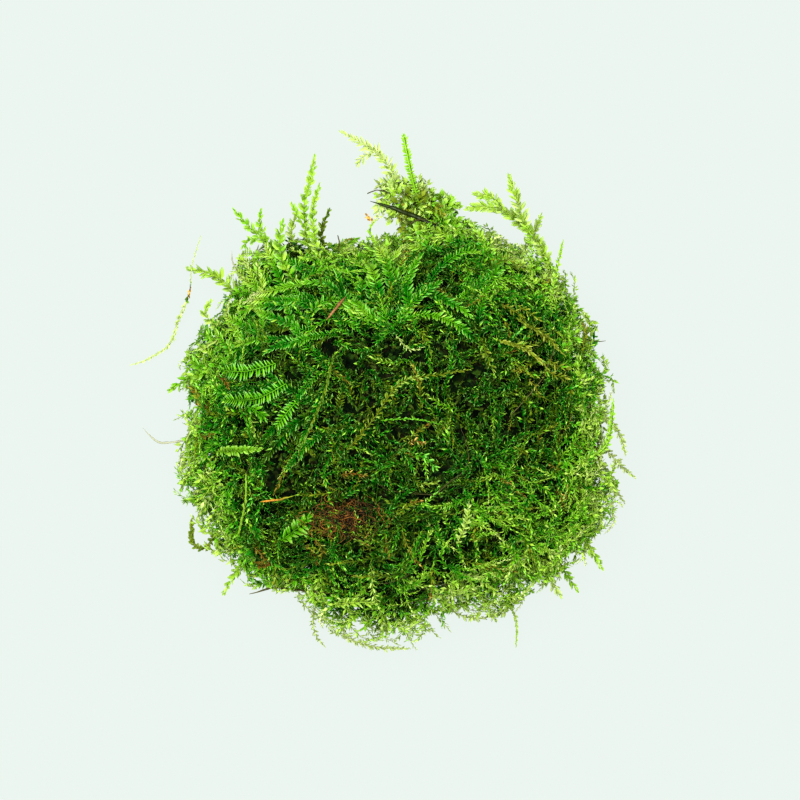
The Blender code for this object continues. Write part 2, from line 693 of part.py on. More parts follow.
def lying_pieces(sockets):
    """Fronds, stems and scraps that lie on top of the mat, half sunk in it."""

    def on_top(points):
        """The path at the height of the mat under it, eased over its bumps."""
        places = even_points([Vector((x, y, 0.0)) for x, y in points], LAID_STATIONS)
        heights = [sockets.height(place.x, place.y) for place in places]
        eased = []
        for index, place in enumerate(places):
            near = heights[max(index - 1, 0) : index + 2]
            height = 0.5 * (max(near) + sum(near) / len(near))
            eased.append(Vector((place.x, place.y, height + LAID_RISE)))
        return eased

    def laid_frond(name, colour, points, half_width, leaf_pairs):
        leafy_shoot(sockets, name, colour, on_top(points), half_width, leaf_pairs)

    def laid_stem(name, colour, points, radius, stations=4):
        bare_stem(sockets, name, colour, on_top(points), radius, stations)

    laid_frond("comb_frond_1", "bright_green", [(-15.4, 4.2), (-20.0, 3.0), (-24.6, 3.4)], 1.4, 7)
    laid_frond("comb_frond_2", "bright_green", [(-13.8, 1.2), (-18.2, -1.0), (-24.4, -1.2)], 1.3, 8)
    laid_frond("comb_frond_3", "bright_green", [(-12.4, -1.6), (-14.0, -3.4), (-15.4, -5.4)], 1.2, 5)
    laid_frond("arched_pale_shoot", "pale_green", [(-24.4, -8.9), (-20.4, -8.6), (-16.8, -8.4)], 0.8, 5)
    laid_frond("middle_light_shoot", "pale_green", [(0.2, -4.2), (5.0, -4.0), (10.0, -5.0)], 1.0, 6)
    laid_frond("bright_sprig", "bright_green", [(-14.6, -22.0), (-12.0, -20.0), (-10.0, -18.0)], 1.2, 4)
    laid_frond("pale_yellow_tuft", "pale_green", [(11.4, -22.4), (12.8, -19.2), (13.2, -15.8)], 1.3, 5)
    laid_stem("brown_twig", "brown", [(-5.0, 14.1), (-6.6, 12.1), (-8.2, 10.3)], 0.6, 3)
    laid_stem("orange_straw", "orange_brown", [(-17.7, -16.2), (-15.0, -15.9), (-12.0, -15.1)], 0.5)
    laid_stem("olive_stem", "olive", [(-6.8, 5.5), (-8.0, 0.3), (-10.0, -4.8), (-12.6, -10.2)], 0.45, 6)
    laid_stem("light_stem", "pale_green", [(-19.8, -11.4), (-19.9, -16.0), (-21.0, -21.0)], 0.4)
    laid_stem("yellow_brown_stem_1", "orange_brown", [(20.2, 11.0), (24.4, 8.2), (28.2, 4.8)], 0.4)
    laid_stem("yellow_brown_stem_2", "orange_brown", [(17.6, 7.6), (22.0, 6.0), (25.6, 2.6)], 0.4)
    laid_rhizoids(sockets)


def laid_rhizoids(sockets):
    """A flat, matted pad of rhizoids."""
    height = sockets.height(*RHIZOID_PLACE) - RHIZOID_SINK
    centre = Vector((*RHIZOID_PLACE, height))
    work = bmesh.new()
    bmesh.ops.create_icosphere(work, subdivisions=2, radius=1.0)
    for vertex in work.verts:
        way = vertex.co.copy()
        ripple = 1.0 + RHIZOID_RIPPLE * noise.noise(way * RHIZOID_RIPPLES)
        slanted = way * RHIZOID_RADII + Vector((0.0, way.x * RHIZOID_SLANT, 0.0))
        vertex.co = centre + slanted * ripple
    new_object("rhizoid_tangle", mesh_from(work, "rhizoid_tangle"), "brown")
    groove = [centre - RHIZOID_GROOVE_HALF, centre, centre + RHIZOID_GROOVE_HALF]
    sockets.cut(groove, RHIZOID_GROOVE_WIDTH, RHIZOID_GROOVE_DEPTH)


def main():
    clear_scene()
    mat = make_dome()
    fronds = make_fronds()
    fronds.objects.link(make_top_lobe())
    combine(mat, fronds, "UNION")
    sockets = Sockets(mat)
    rim_shoots(sockets)
    lying_pieces(sockets)
    combine(mat, sockets.sheaths, "DIFFERENCE")
    tidy_mat(mat)
    mat.data.materials.clear()
    mat.data.materials.append(material_named("moss_mass", "deep_green"))


main()
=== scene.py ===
"""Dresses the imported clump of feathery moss: leafy shoots, old stems and rhizoids.

The clump rests on Z = 0. Tables of places and lengths are in millimetres, X to the
right and Y away from a viewer who looks straight down, and meshes are in metres.
"""

import math

import bmesh
import bpy
import numpy as np
from bpy.props import FloatProperty, FloatVectorProperty, IntProperty, PointerProperty
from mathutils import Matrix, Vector, noise
from mathutils.bvhtree import BVHTree


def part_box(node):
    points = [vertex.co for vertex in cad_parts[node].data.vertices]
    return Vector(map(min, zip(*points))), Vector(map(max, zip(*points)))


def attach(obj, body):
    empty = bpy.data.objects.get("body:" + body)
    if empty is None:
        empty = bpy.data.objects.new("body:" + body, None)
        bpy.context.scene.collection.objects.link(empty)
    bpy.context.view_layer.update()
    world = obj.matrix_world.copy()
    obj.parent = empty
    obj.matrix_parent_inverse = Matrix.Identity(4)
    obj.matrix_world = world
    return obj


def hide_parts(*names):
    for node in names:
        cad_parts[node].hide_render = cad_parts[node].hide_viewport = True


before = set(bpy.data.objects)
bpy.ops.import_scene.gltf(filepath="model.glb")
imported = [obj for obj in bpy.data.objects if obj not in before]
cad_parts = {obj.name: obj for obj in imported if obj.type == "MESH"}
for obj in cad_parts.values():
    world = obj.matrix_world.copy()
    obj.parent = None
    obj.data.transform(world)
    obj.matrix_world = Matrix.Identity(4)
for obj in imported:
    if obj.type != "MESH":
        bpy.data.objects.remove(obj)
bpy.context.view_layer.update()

bl_info = {
    "name": "Moss Clump",
    "version": (1, 0, 0),
    "blender": (4, 5, 0),
    "location": "3D View > Sidebar > Moss",
    "description": "Grows a clump of feathery moss over its packed solids",
    "category": "Add Mesh",
}

MM = 0.001
UP = np.array((0.0, 0.0, 1.0))
GOLDEN_TURN = math.radians(137.5)

# The mat's dome, as the solid has it.
MAT_CENTRE = np.array((2.6, -5.4, 0.0))
MAT_HEIGHT = 30.0
MAT_RADII = (
    29.4, 29.8, 30.2, 31.4, 31.4, 31.0, 26.6, 27.0, 32.2, 31.0, 30.6, 30.0,
    30.8, 29.6, 31.0, 30.2, 28.2, 30.4, 29.8, 27.0, 29.6, 29.6, 32.4, 31.0,
)
MAT_PROFILE = (
    (0.00, 1.00), (0.34, 0.98), (0.65, 0.88), (0.88, 0.67), (1.00, 0.38),
    (0.95, 0.13), (0.76, 0.00), (0.40, 0.00), (0.00, 0.00),
)
LUMP_SIZE = 9.0
LUMP_HEIGHT = 2.2
PIT_RADIUS = 3.2
PIT_DEPTH = 3.0
PITS = (
    (-21.8, 6.3), (-21.8, -5.7), (-16.0, -20.5), (9.8, -0.4), (16.0, -4.5),
    (21.0, -10.2), (2.2, -14.8), (6.0, -20.5), (-2.0, -9.8), (25.5, -8.0),
)

# Where few green shoots grow, so that the dark inside shows.
THIN_SPOTS = (*PITS, (-5.2, -18.5), (-14.0, -19.0), (-21.0, -12.0), (-17.0, -6.5))
THIN_RADIUS = 2.8
THINNING = 0.8

# The middle of the mat, right of this X and below this Y, has no feathery fronds.
MIDDLE_LEFT = -7.0
MIDDLE_TOP = 8.0

# The lobe at the top edge, what its seed adds to the edge shoots', and the tufts on it:
# centre, radii, how many shoots, and their lowest and highest tint.
LOBE_CENTRE = (6.8, 23.4, 12.5)
LOBE_RADII = (5.6, 6.6, 6.2)
LOBE_SEED = 50
TOP_TUFTS = (
    ((8.4, 23.6, 13.0), (4.4, 5.2, 6.0), 130, 0.76, 0.90),
    ((5.8, 26.4, 16.0), (3.2, 2.8, 3.2), 44, 0.15, 0.28),
    ((3.6, 29.0, 14.0), (3.4, 2.6, 3.0), 90, 0.90, 0.98),
)

# The tint of painted shade for leaves deep in the mat, which every shoot's root takes on. No
# shoot's own tint comes nearer to it than the band. Stray leaves lean to the pale tint as
# painted glints on wet leaves.
SHADED_TINT = 0.44
SHADE_BAND = 0.06
PALE_TINT = 0.97
# The mat grows paler from the middle tint to the edge tint. This is partly the edge's own young
# growth, partly painted glow of the light table shining through the thin edge, and partly painted
# shade in the thick middle.
MIDDLE_TINT = 0.47
EDGE_TINT = 0.87
BRIGHTEST_EDGE = 0.93

# Where the pale edge starts and how wide it is, as shares of the mat's radius.
EDGE_STARTS = 0.81
EDGE_WIDTH = 0.15

# Tufts and hollows in the mat: how wide they are, and how far they move the tint, as painted light
# on the tufts and painted shade in the hollows.
TUFT_SIZE = 4.2
TUFT_SHADING = 0.28

# The inner tangle's felt: how wide its lumps are, how far they rise, and its lowest place.
FELT_SIZE = 2.2
FELT_HEIGHT = 1.2
TANGLE_BOTTOM = 0.35

# How deep shoots are pressed under a piece that lies on them, and how far they rise again in
# each such width beside it.
PRESSED_DEPTH = 0.9
PRESSED_RISE = 1.6
PRESSED_WIDTH = 1.5

# Heights in the picture, from the mat's middle, where the fine shoots' pieces meet.
FINE_TOP = 6.0
FINE_BOTTOM = -10.0

# The tints of old shoots inside, near the shaded tint, partly their own dark colour and partly
# painted shade, and how many of the fine shoots are brown or light.
LITTER_TINTS = (0.32, 0.39, 0.42, 0.46, 0.49)
BROWN_SHARE = 0.03
BROWN_TINT = 0.08
LIGHT_SHARE = 0.10
LIGHT_TINT = 0.86

# A leaf's tint runs along the palette from dead brown at 0 through olive and deep
# green to pale yellow-green at 1. Each patch of the mat pulls the tints near it
# towards its own: x, y, radius, tint and strength.
# Most patches give the moss's own colours. Those at tint 0.5 paint the dark shade of hollows, and
# the pale ones at the bottom edge partly paint the glow of the light table through it.
PATCHES = (
    (-12.0, 14.0, 12.0, 0.67, 2.8), (0.0, 13.0, 11.0, 0.61, 2.0), (-18.5, 0.0, 7.0, 0.50, 7.0),
    (-18.0, -8.0, 5.5, 0.50, 4.0), (-19.0, -13.0, 4.0, 0.50, 3.0), (-8.0, -6.0, 8.5, 0.27, 2.6),
    (-5.6, -19.5, 5.0, 0.08, 4.0), (-16.0, -24.0, 4.5, 0.14, 2.0), (3.0, -7.0, 10.0, 0.33, 2.4),
    (-11.0, -17.0, 8.0, 0.30, 2.0), (13.0, 4.0, 5.0, 0.30, 2.0), (23.0, 5.0, 5.6, 0.18, 5.0),
    (12.6, -19.0, 3.2, 0.88, 2.6), (17.0, -5.0, 8.0, 0.50, 3.4), (24.0, -5.5, 4.0, 0.51, 2.4),
    (8.0, -12.0, 3.6, 0.56, 2.4), (3.0, -26.0, 7.0, 0.30, 1.8), (17.0, -23.0, 7.0, 0.80, 1.8),
    (-4.0, -32.0, 6.5, 0.92, 6.0), (18.0, 16.0, 8.0, 0.68, 2.2), (11.0, 20.0, 4.0, 0.26, 2.0),
    (26.0, -15.0, 7.0, 0.88, 2.6), (-24.0, -17.0, 6.0, 0.79, 1.8), (-25.0, 4.0, 5.0, 0.60, 9.0),
    (29.0, 7.0, 4.0, 0.88, 4.0), (13.0, -30.0, 6.5, 0.93, 6.0), (-18.0, -2.6, 1.7, 0.60, 20.0),
    (6.8, -10.4, 1.5, 0.60, 14.0), (17.2, -11.2, 2.2, 0.60, 10.0),
)


# Settings that a user would change.


def length(name, description, millimetres):
    return FloatProperty(
        name=name, description=description, default=millimetres * MM, min=0.0,
        precision=5, unit="LENGTH",
    )


def share(name, description, value):
    return FloatProperty(
        name=name, description=description, default=value, min=0.0, max=1.0, subtype="FACTOR",
    )


def turn(name, description, degrees):
    return FloatProperty(
        name=name, description=description, default=math.radians(degrees),
        min=-math.pi, max=math.pi, unit="ROTATION",
    )


def number(name, description, value):
    return IntProperty(name=name, description=description, default=value, min=0)


def colour(name, description, value):
    return FloatVectorProperty(
        name=name, description=description, default=value, size=3, min=0.0, max=1.0,
        subtype="COLOR",
    )


def with_leaves(reach, leaf_length, leaf_width, leaf_spacing, leaf_angle, flatness, stem_radius,
                seed):
    """Adds what every group of leafy shoots has to its settings, with these defaults."""

    def filled(group):
        group.__annotations__.update(
            reach=length("Shoot Length", "From a shoot's root to its tip", reach),
            leaf_length=length("Leaf Length", "From the stem to a leaf's tip", leaf_length),
            leaf_width=length("Leaf Width", "Across a leaf where it is widest", leaf_width),
            leaf_spacing=length("Leaf Spacing", "From one leaf to the next", leaf_spacing),
            leaf_angle=turn("Leaf Angle", "Between a leaf and the stem", leaf_angle),
            flatness=share("Flatness", "0 for leaves all round, 1 for two flat rows", flatness),
            stem_radius=length("Stem Radius", "Half the thickness of a stem", stem_radius),
            seed=number("Seed", "Another number grows other shoots", seed),
        )
        return group

    return filled


@with_leaves(reach=10.0, leaf_length=1.15, leaf_width=0.36, leaf_spacing=0.23,
             leaf_angle=52.0, flatness=1.0, stem_radius=0.09, seed=3)
class FeatherFrondSettings(bpy.types.PropertyGroup):
    """The flat, feathery fronds of the crown and the upper left"""

    count: number("Fronds", "How many fronds lie over the mat", 185)
    # The lower fronds' tints are lowered as painted shade under the top layer.
    under_count: number("Lower Fronds", "How many darker fronds lie under them", 210)


@with_leaves(reach=6.6, leaf_length=0.84, leaf_width=0.34, leaf_spacing=0.23,
             leaf_angle=46.0, flatness=0.0, stem_radius=0.07, seed=8)
class FineShootSettings(bpy.types.PropertyGroup):
    """The fine, spiky shoots that fill the middle and the lower half"""

    count: number("Shoots", "How many shoots grow out of the mat", 1500)
    # Pale leaves are painted glints on wet leaves.
    pale_share: share("Pale Leaves", "How many of the leaves are pale", 0.09)
    turned_share: share(
        "Turned Shoots", "How many shoots are olive among green, or green among olive", 0.35)


@with_leaves(reach=4.5, leaf_length=0.90, leaf_width=0.50, leaf_spacing=0.40,
             leaf_angle=55.0, flatness=0.5, stem_radius=0.10, seed=30)
class LitterSettings(bpy.types.PropertyGroup):
    """The old shoots that lie on the inner tangle, dark partly with age and partly as painted
    shade
    """

    count: number("Shoots", "How many old shoots lie on the inner tangle", 1100)


@with_leaves(reach=5.6, leaf_length=1.10, leaf_width=0.50, leaf_spacing=0.27,
             leaf_angle=52.0, flatness=0.5, stem_radius=0.08, seed=14)
class EdgeShootSettings(bpy.types.PropertyGroup):
    """The pale shoots that stand out all round the mat's edge and flanks"""

    count: number("Flank Shoots", "How many shoots cover the flanks", 560)
    rim_count: number("Rim Shoots", "How many shoots stand out round the edge", 620)
    loose_count: number("Loose Strands", "How many thin strands hang off the edge", 130)
    bottom_share: share(
        "Bottom Share", "How many shoots are left at the see-through bottom edge", 0.34)


@with_leaves(reach=10.0, leaf_length=0.95, leaf_width=0.36, leaf_spacing=0.42,
             leaf_angle=50.0, flatness=1.0, stem_radius=0.12, seed=21)
class UndersideSettings(bpy.types.PropertyGroup):
    """The old shoots pressed flat under the mat"""

    count: number("Shoots", "How many shoots lie pressed under the mat", 330)


class StemSettings(bpy.types.PropertyGroup):
    """Old bare stems and rhizoids in the mat"""

    stems: number("Old Stems", "How many bare stems run through the mat", 26)
    stem_length: length("Stem Length", "The length of a bare stem", 15.0)
    stem_radius: length("Stem Radius", "Half the thickness of a bare stem", 0.07)
    rhizoids: number("Rhizoids", "How many hair-like rhizoids are matted together", 155)
    rhizoid_length: length("Rhizoid Length", "The length of a rhizoid", 5.0)
    rhizoid_radius: length("Rhizoid Radius", "Half the thickness of a rhizoid", 0.05)
    seed: number("Seed", "Another number lays the stems another way", 5)


class ColourSettings(bpy.types.PropertyGroup):
    """The moss's colours, from dead to fresh growth"""

    withered: colour("Withered", "Dry, pale orange leaves and beads", (0.780, 0.520, 0.140))
    dead: colour("Dead Leaf", "Leaves that have gone brown", (0.190, 0.075, 0.014))
    rusty: colour("Rusty Olive", "Leaves that are about to turn", (0.270, 0.230, 0.036))
    olive: colour("Olive", "Old leaves", (0.225, 0.275, 0.022))
    dark_olive: colour("Dark Olive", "Old leaves in the middle of the mat", (0.064, 0.145, 0.005))
    # Shaded green is painted shade: the colour of leaves deep in the mat, out of the light.
    shaded: colour("Shaded Green", "Leaves deep in the mat", (0.005, 0.060, 0.001))
    deep_green: colour("Deep Green", "Grown leaves", (0.012, 0.215, 0.006))
    bright_green: colour("Bright Green", "Fresh leaves", (0.150, 0.410, 0.012))
    yellow_green: colour("Yellow Green", "Thin leaves at the edge", (0.355, 0.520, 0.065))
    pale: colour("Pale Green", "The palest new growth", (0.530, 0.590, 0.270))
    # The leaf tip colour is partly the leaves' own paler ends and partly a painted glint on wet
    # leaves.
    tip: colour("Leaf Tip", "The thin, wet end of a leaf", (0.365, 0.550, 0.150))
    standing_tip: colour(
        "Standing Tip", "The ends of leaves that the light shines through", (0.430, 0.570, 0.270))
    tan: colour("Tan", "The ends of withering leaves", (0.450, 0.490, 0.150))
    pale_stem: colour("Bleached Stems", "Bare stems at the mat's edge", (0.330, 0.340, 0.230))
    # Silvery green is the big fronds' leaf-end colour, partly their own pale ends and partly a
    # painted sheen.
    silvery: colour("Silvery Green", "The leaves of the big curved fronds", (0.260, 0.440, 0.190))
    # The inner tangle's near-black is partly the old stems' own dark colour and partly painted
    # shade deep in the mat.
    tangle: colour("Inner Tangle", "The dark heart of the mat", (0.003, 0.014, 0.001))
    rust: colour("Rhizoid Rust", "Matted rhizoids", (0.230, 0.104, 0.019))
    twig: colour("Twig", "The scrap of dead twig", (0.360, 0.190, 0.080))
    straw: colour("Dry Straw", "The scrap of dry straw", (0.560, 0.280, 0.045))
    old_stem: colour("Old Stem", "Bare grey-brown stems", (0.090, 0.085, 0.024))
    dark_stem: colour("Dark Stem", "Old stems that are still wet and green", (0.030, 0.045, 0.008))
    floor: colour("Floor", "The pale light table", (0.592, 0.636, 0.610))


# Smooth lines and the mat's shape.


def unit(vectors):
    return vectors / np.maximum(np.linalg.norm(vectors, axis=-1, keepdims=True), 1e-12)


def smooth_line(points, count, closed=False):
    """Places at even steps of the smooth curve through the points."""
    points = np.asarray(points, float)
    if closed:
        ring = np.concatenate([points[-1:], points, points[:2]])
    else:
        lead_in, lead_out = 2 * points[:1] - points[1:2], 2 * points[-1:] - points[-2:-1]
        ring = np.concatenate([lead_in, points, lead_out])
    place = np.linspace(0.0, len(ring) - 3, count)
    start = np.minimum(place.astype(int), len(ring) - 4)
    part = (place - start).reshape((-1,) + (1,) * (points.ndim - 1))
    before, here, after, beyond = (ring[start + step] for step in range(4))
    return 0.5 * (
        2 * here
        + (after - before) * part
        + (2 * before - 5 * here + 4 * after - beyond) * part**2
        + (3 * here - before - 3 * after + beyond) * part**3
    )


def nearness(places, x, y, wide, deep):
    """1 at a flat spot, fading to 0 away from it."""
    return np.exp(-(((places[:, 0] - x) / wide) ** 2 + ((places[:, 1] - y) / deep) ** 2))


def near_any(places, spots, radius):
    """1 at any of the flat spots, fading to 0 away from them all."""
    across = np.linalg.norm(places[:, None, :2] - np.array(spots)[None], axis=2)
    return np.exp(-((across / radius) ** 2)).max(1)


# The mat's radius all the way round, and its profile from the crown to under its middle.
RIM = smooth_line(MAT_RADII, 721, closed=True)
PROFILE = smooth_line(MAT_PROFILE, 401)


def rim_towards(level):
    """The mat's radius in the direction of each flat offset from its middle."""
    round_share = np.arctan2(level[..., 1], level[..., 0]) / math.tau % 1.0
    return np.interp(round_share, np.linspace(0, 1, len(RIM)), RIM)


class Dome:
    """The mat's smooth shape: one place for each direction from its middle."""

    def place(self, ways):
        down = np.arccos(np.clip(ways[..., 2], -1.0, 1.0)) / math.pi
        grid = np.linspace(0, 1, len(PROFILE))
        out = np.maximum(np.interp(down, grid, PROFILE[:, 0]), 0.0) * rim_towards(ways)
        height = np.maximum(np.interp(down, grid, PROFILE[:, 1]), 0.0) * MAT_HEIGHT
        level = unit(ways[..., :2])
        return MAT_CENTRE + np.stack([level[..., 0] * out, level[..., 1] * out, height], -1)

    def swell(self, places):
        """How far lumps and pits move the mat's surface in or out."""
        flat = places.reshape(-1, 3)
        lumps = [
            noise.noise(Vector(place / LUMP_SIZE))
            + 0.5 * noise.noise(Vector(place / (LUMP_SIZE * 0.45)))
            for place in flat
        ]
        lumps = LUMP_HEIGHT * np.array(lumps) * np.clip(flat[:, 2] / 6.0, 0.0, 1.0)
        pits = PIT_DEPTH * near_any(flat, PITS, PIT_RADIUS)
        pits[flat[:, 2] < 0.4 * MAT_HEIGHT] = 0.0
        return (lumps - pits).reshape(places.shape[:-1])


class Lobe:
    """A tuft that bulges from the top edge of the mat."""

    def __init__(self, centre, radii):
        self.centre, self.radii = np.array(centre), np.array(radii)

    def place(self, ways):
        return self.centre + ways * self.radii

    def swell(self, places):
        return np.zeros(places.shape[:-1])


DOME = Dome()


# How far ahead a walk looks, in radians, and the fewest millimetres that it takes a radian for.
PROBE = 0.01
SLOWEST = 4.0


def outward(shape, ways):
    """The way straight out of the shape's surface."""
    step = 0.4 * PROBE
    first = unit(np.cross(ways, np.where(np.abs(ways[..., 2:]) < 0.9, UP, (1.0, 0.0, 0.0))))
    second = np.cross(ways, first)
    across = shape.place(unit(ways + step * first)) - shape.place(unit(ways - step * first))
    along = shape.place(unit(ways + step * second)) - shape.place(unit(ways - step * second))
    out = unit(np.cross(across, along))
    return out * np.sign((out * ways).sum(-1, keepdims=True) + 1e-9)


def walk(chance, shape, ways, turns, lengths, heights, bend, wobble, steps):
    """Lines that run over the shape, and the ways out at their places.

    A turn of 0 starts a line straight down the side. Heights are each line's start and end
    above the shape. Bend is how far lines curve one way, and wobble how far to and fro.
    """
    count = len(ways)
    headings = headings_at(ways, turns)
    bends = chance.normal(0.0, bend, count)
    places = np.empty((count, steps + 1, 3))
    outs = np.empty_like(places)
    low, high = heights
    for step in range(steps + 1):
        part = step / steps
        place = shape.place(ways)
        out = outward(shape, ways)
        height = low + (high - low) * math.sin(0.5 * math.pi * part)
        places[:, step] = place + out * (shape.swell(place) + height)[:, None]
        outs[:, step] = out
        ahead = shape.place(unit(ways + PROBE * headings))
        rate = np.maximum(np.linalg.norm(ahead - place, axis=1) / PROBE, SLOWEST)
        onward = unit(ways + (lengths / steps / rate)[:, None] * headings)
        headings = unit(headings - (headings * onward).sum(1, keepdims=True) * onward)
        turns = (bends / steps + chance.normal(0.0, wobble, count) / steps**0.5)[:, None]
        headings = headings * np.cos(turns) + np.cross(onward, headings) * np.sin(turns)
        ways = onward
    return places, outs


def random_ways(chance, count, lowest, highest):
    """Directions spread evenly between two heights of the unit sphere."""
    height = chance.uniform(lowest, highest, count)
    angle = chance.uniform(0.0, math.tau, count)
    level = np.sqrt(1.0 - height**2)
    return np.stack([level * np.cos(angle), level * np.sin(angle), height], 1)


def any_turns(chance, count):
    return chance.uniform(-math.pi, math.pi, count)


def headings_at(ways, turns):
    """Ways along the unit sphere: a turn of 0 is straight down its side."""
    around = unit(np.cross(UP, ways) + 1e-9)
    down = np.cross(around, ways)
    return down * np.cos(turns)[:, None] + around * np.sin(turns)[:, None]


def tufting(places):
    """How far the mat stands up in tufts, or sinks in hollows, at each place."""
    rises = [noise.noise(Vector(place) / TUFT_SIZE) for place in places.reshape(-1, 3)]
    return np.reshape(rises, places.shape[:-1])


def tint_at(places):
    """The tint that leaves have around each place: paler at the edge, partly its own young growth
    and partly painted glow of the light table, and moved by tufting as painted light and shade.
    """
    level = places[..., :2] - MAT_CENTRE[:2]
    out = np.linalg.norm(level, axis=-1) / rim_towards(level)
    edge = np.clip((out - EDGE_STARTS) / EDGE_WIDTH, 0.0, 1.0)
    total = np.ones(edge.shape)
    tint = MIDDLE_TINT + (EDGE_TINT - MIDDLE_TINT) * edge
    for x, y, size, own, strength in PATCHES:
        away = ((places[..., 0] - x) ** 2 + (places[..., 1] - y) ** 2) / size**2
        weight = strength * np.exp(-away) * (1.0 - 0.7 * edge)
        tint = tint + weight * own
        total = total + weight
    return tint / total + TUFT_SHADING * tufting(places)


def clear_of_shade(tints):
    """Shoots' own tints, moved out of the dark middle of the palette."""
    away = tints - SHADED_TINT
    return SHADED_TINT + np.where(away < 0.0, -1.0, 1.0) * np.maximum(np.abs(away), SHADE_BAND)


def graded(own, paths, depth=0.7):
    """Tints along each line: the painted shade of the mat's depth at its root, and its own colour
    at its tip.
    """
    part = np.linspace(0.0, 1.0, paths.shape[1]) ** 0.8
    return SHADED_TINT + (own - SHADED_TINT) * (1.0 - depth + depth * part)


class Lines:
    """Centre lines of shoots or stems, with the ways out, tints and sizes at their points."""

    def __init__(self, *row):
        self.rows = []
        if row:
            self.add(*row)

    def add(self, paths, outs, tints, sizes, keep=slice(None)):
        shape = paths.shape[:2]
        row = (
            paths, np.broadcast_to(outs, paths.shape), np.broadcast_to(tints, shape),
            np.broadcast_to(sizes, shape),
        )
        self.rows.append([values[keep] for values in row])

    def mesh(self, name):
        points, outs, tints, sizes, edges = [], [], [], [], []
        start = 0
        for paths, ways, tint, size in self.rows:
            places = np.arange(paths.shape[0] * paths.shape[1]).reshape(paths.shape[:2]) + start
            edges.append(np.stack([places[:, :-1].ravel(), places[:, 1:].ravel()], 1))
            start += places.size
            points.append(paths.reshape(-1, 3) * MM)
            outs.append(ways.reshape(-1, 3))
            tints.append(tint.ravel())
            sizes.append(size.ravel())
        mesh = bpy.data.meshes.new(name)
        mesh.from_pydata(np.concatenate(points).tolist(), np.concatenate(edges).tolist(), [])
        for label, kind, field, values in (
            ("outward", "FLOAT_VECTOR", "vector", outs),
            ("tint", "FLOAT", "value", tints),
            ("size", "FLOAT", "value", sizes),
        ):
            attribute = mesh.attributes.new(label, kind, "POINT")
            attribute.data.foreach_set(field, np.concatenate(values).astype(np.float32).ravel())
        return mesh


# Node trees.


def socket_in(node, key):
    if isinstance(key, int):
        return node.inputs[key]
    return next(socket for socket in node.inputs if socket.name == key and socket.enabled)


class Nodes:
    """Adds nodes to a tree, with their inputs given as values or as other nodes' outputs."""

    def __init__(self, tree):
        self.tree = tree

    def fill(self, node, inputs):
        """Sets a node's inputs by name or number."""
        for key, value in inputs.items():
            socket = socket_in(node, key)
            if isinstance(value, bpy.types.NodeSocket):
                self.tree.links.new(value, socket)
            else:
                socket.default_value = value
        return node

    def add(self, kind, inputs=None, **settings):
        node = self.tree.nodes.new(kind)
        for name, value in settings.items():
            setattr(node, name, value)
        return self.fill(node, inputs or {})

    def out(self, kind, inputs=None, **settings):
        node = self.add(kind, inputs, **settings)
        return next(socket for socket in node.outputs if socket.enabled)

    def maths(self, operation, *values):
        return self.out("ShaderNodeMath", dict(enumerate(values)), operation=operation)

    def plus(self, first, second):
        return self.maths("ADD", first, second)

    def times(self, first, second, more=None):
        """First times second, and more added to it where it's given."""
        if more is None:
            return self.maths("MULTIPLY", first, second)
        return self.maths("MULTIPLY_ADD", first, second, more)

    def vector(self, operation, *values):
        return self.out("ShaderNodeVectorMath", dict(enumerate(values)), operation=operation)

    def scaled(self, vector, by):
        return self.out("ShaderNodeVectorMath", {0: vector, "Scale": by}, operation="SCALE")

    def joined(self, x, y, z=0.0):
        return self.out("ShaderNodeCombineXYZ", {0: x, 1: y, 2: z})

    def curve(self, value, points, handle="AUTO"):
        """A value read off a curve through the points."""
        node = self.add("ShaderNodeFloatCurve", {"Value": value})
        line = node.mapping.curves[0]
        line.points[0].location, line.points[1].location = points[0], points[-1]
        for point in points[1:-1]:
            line.points.new(*point)
        for point in line.points:
            point.handle_type = handle
        node.mapping.update()
        return node.outputs[0]


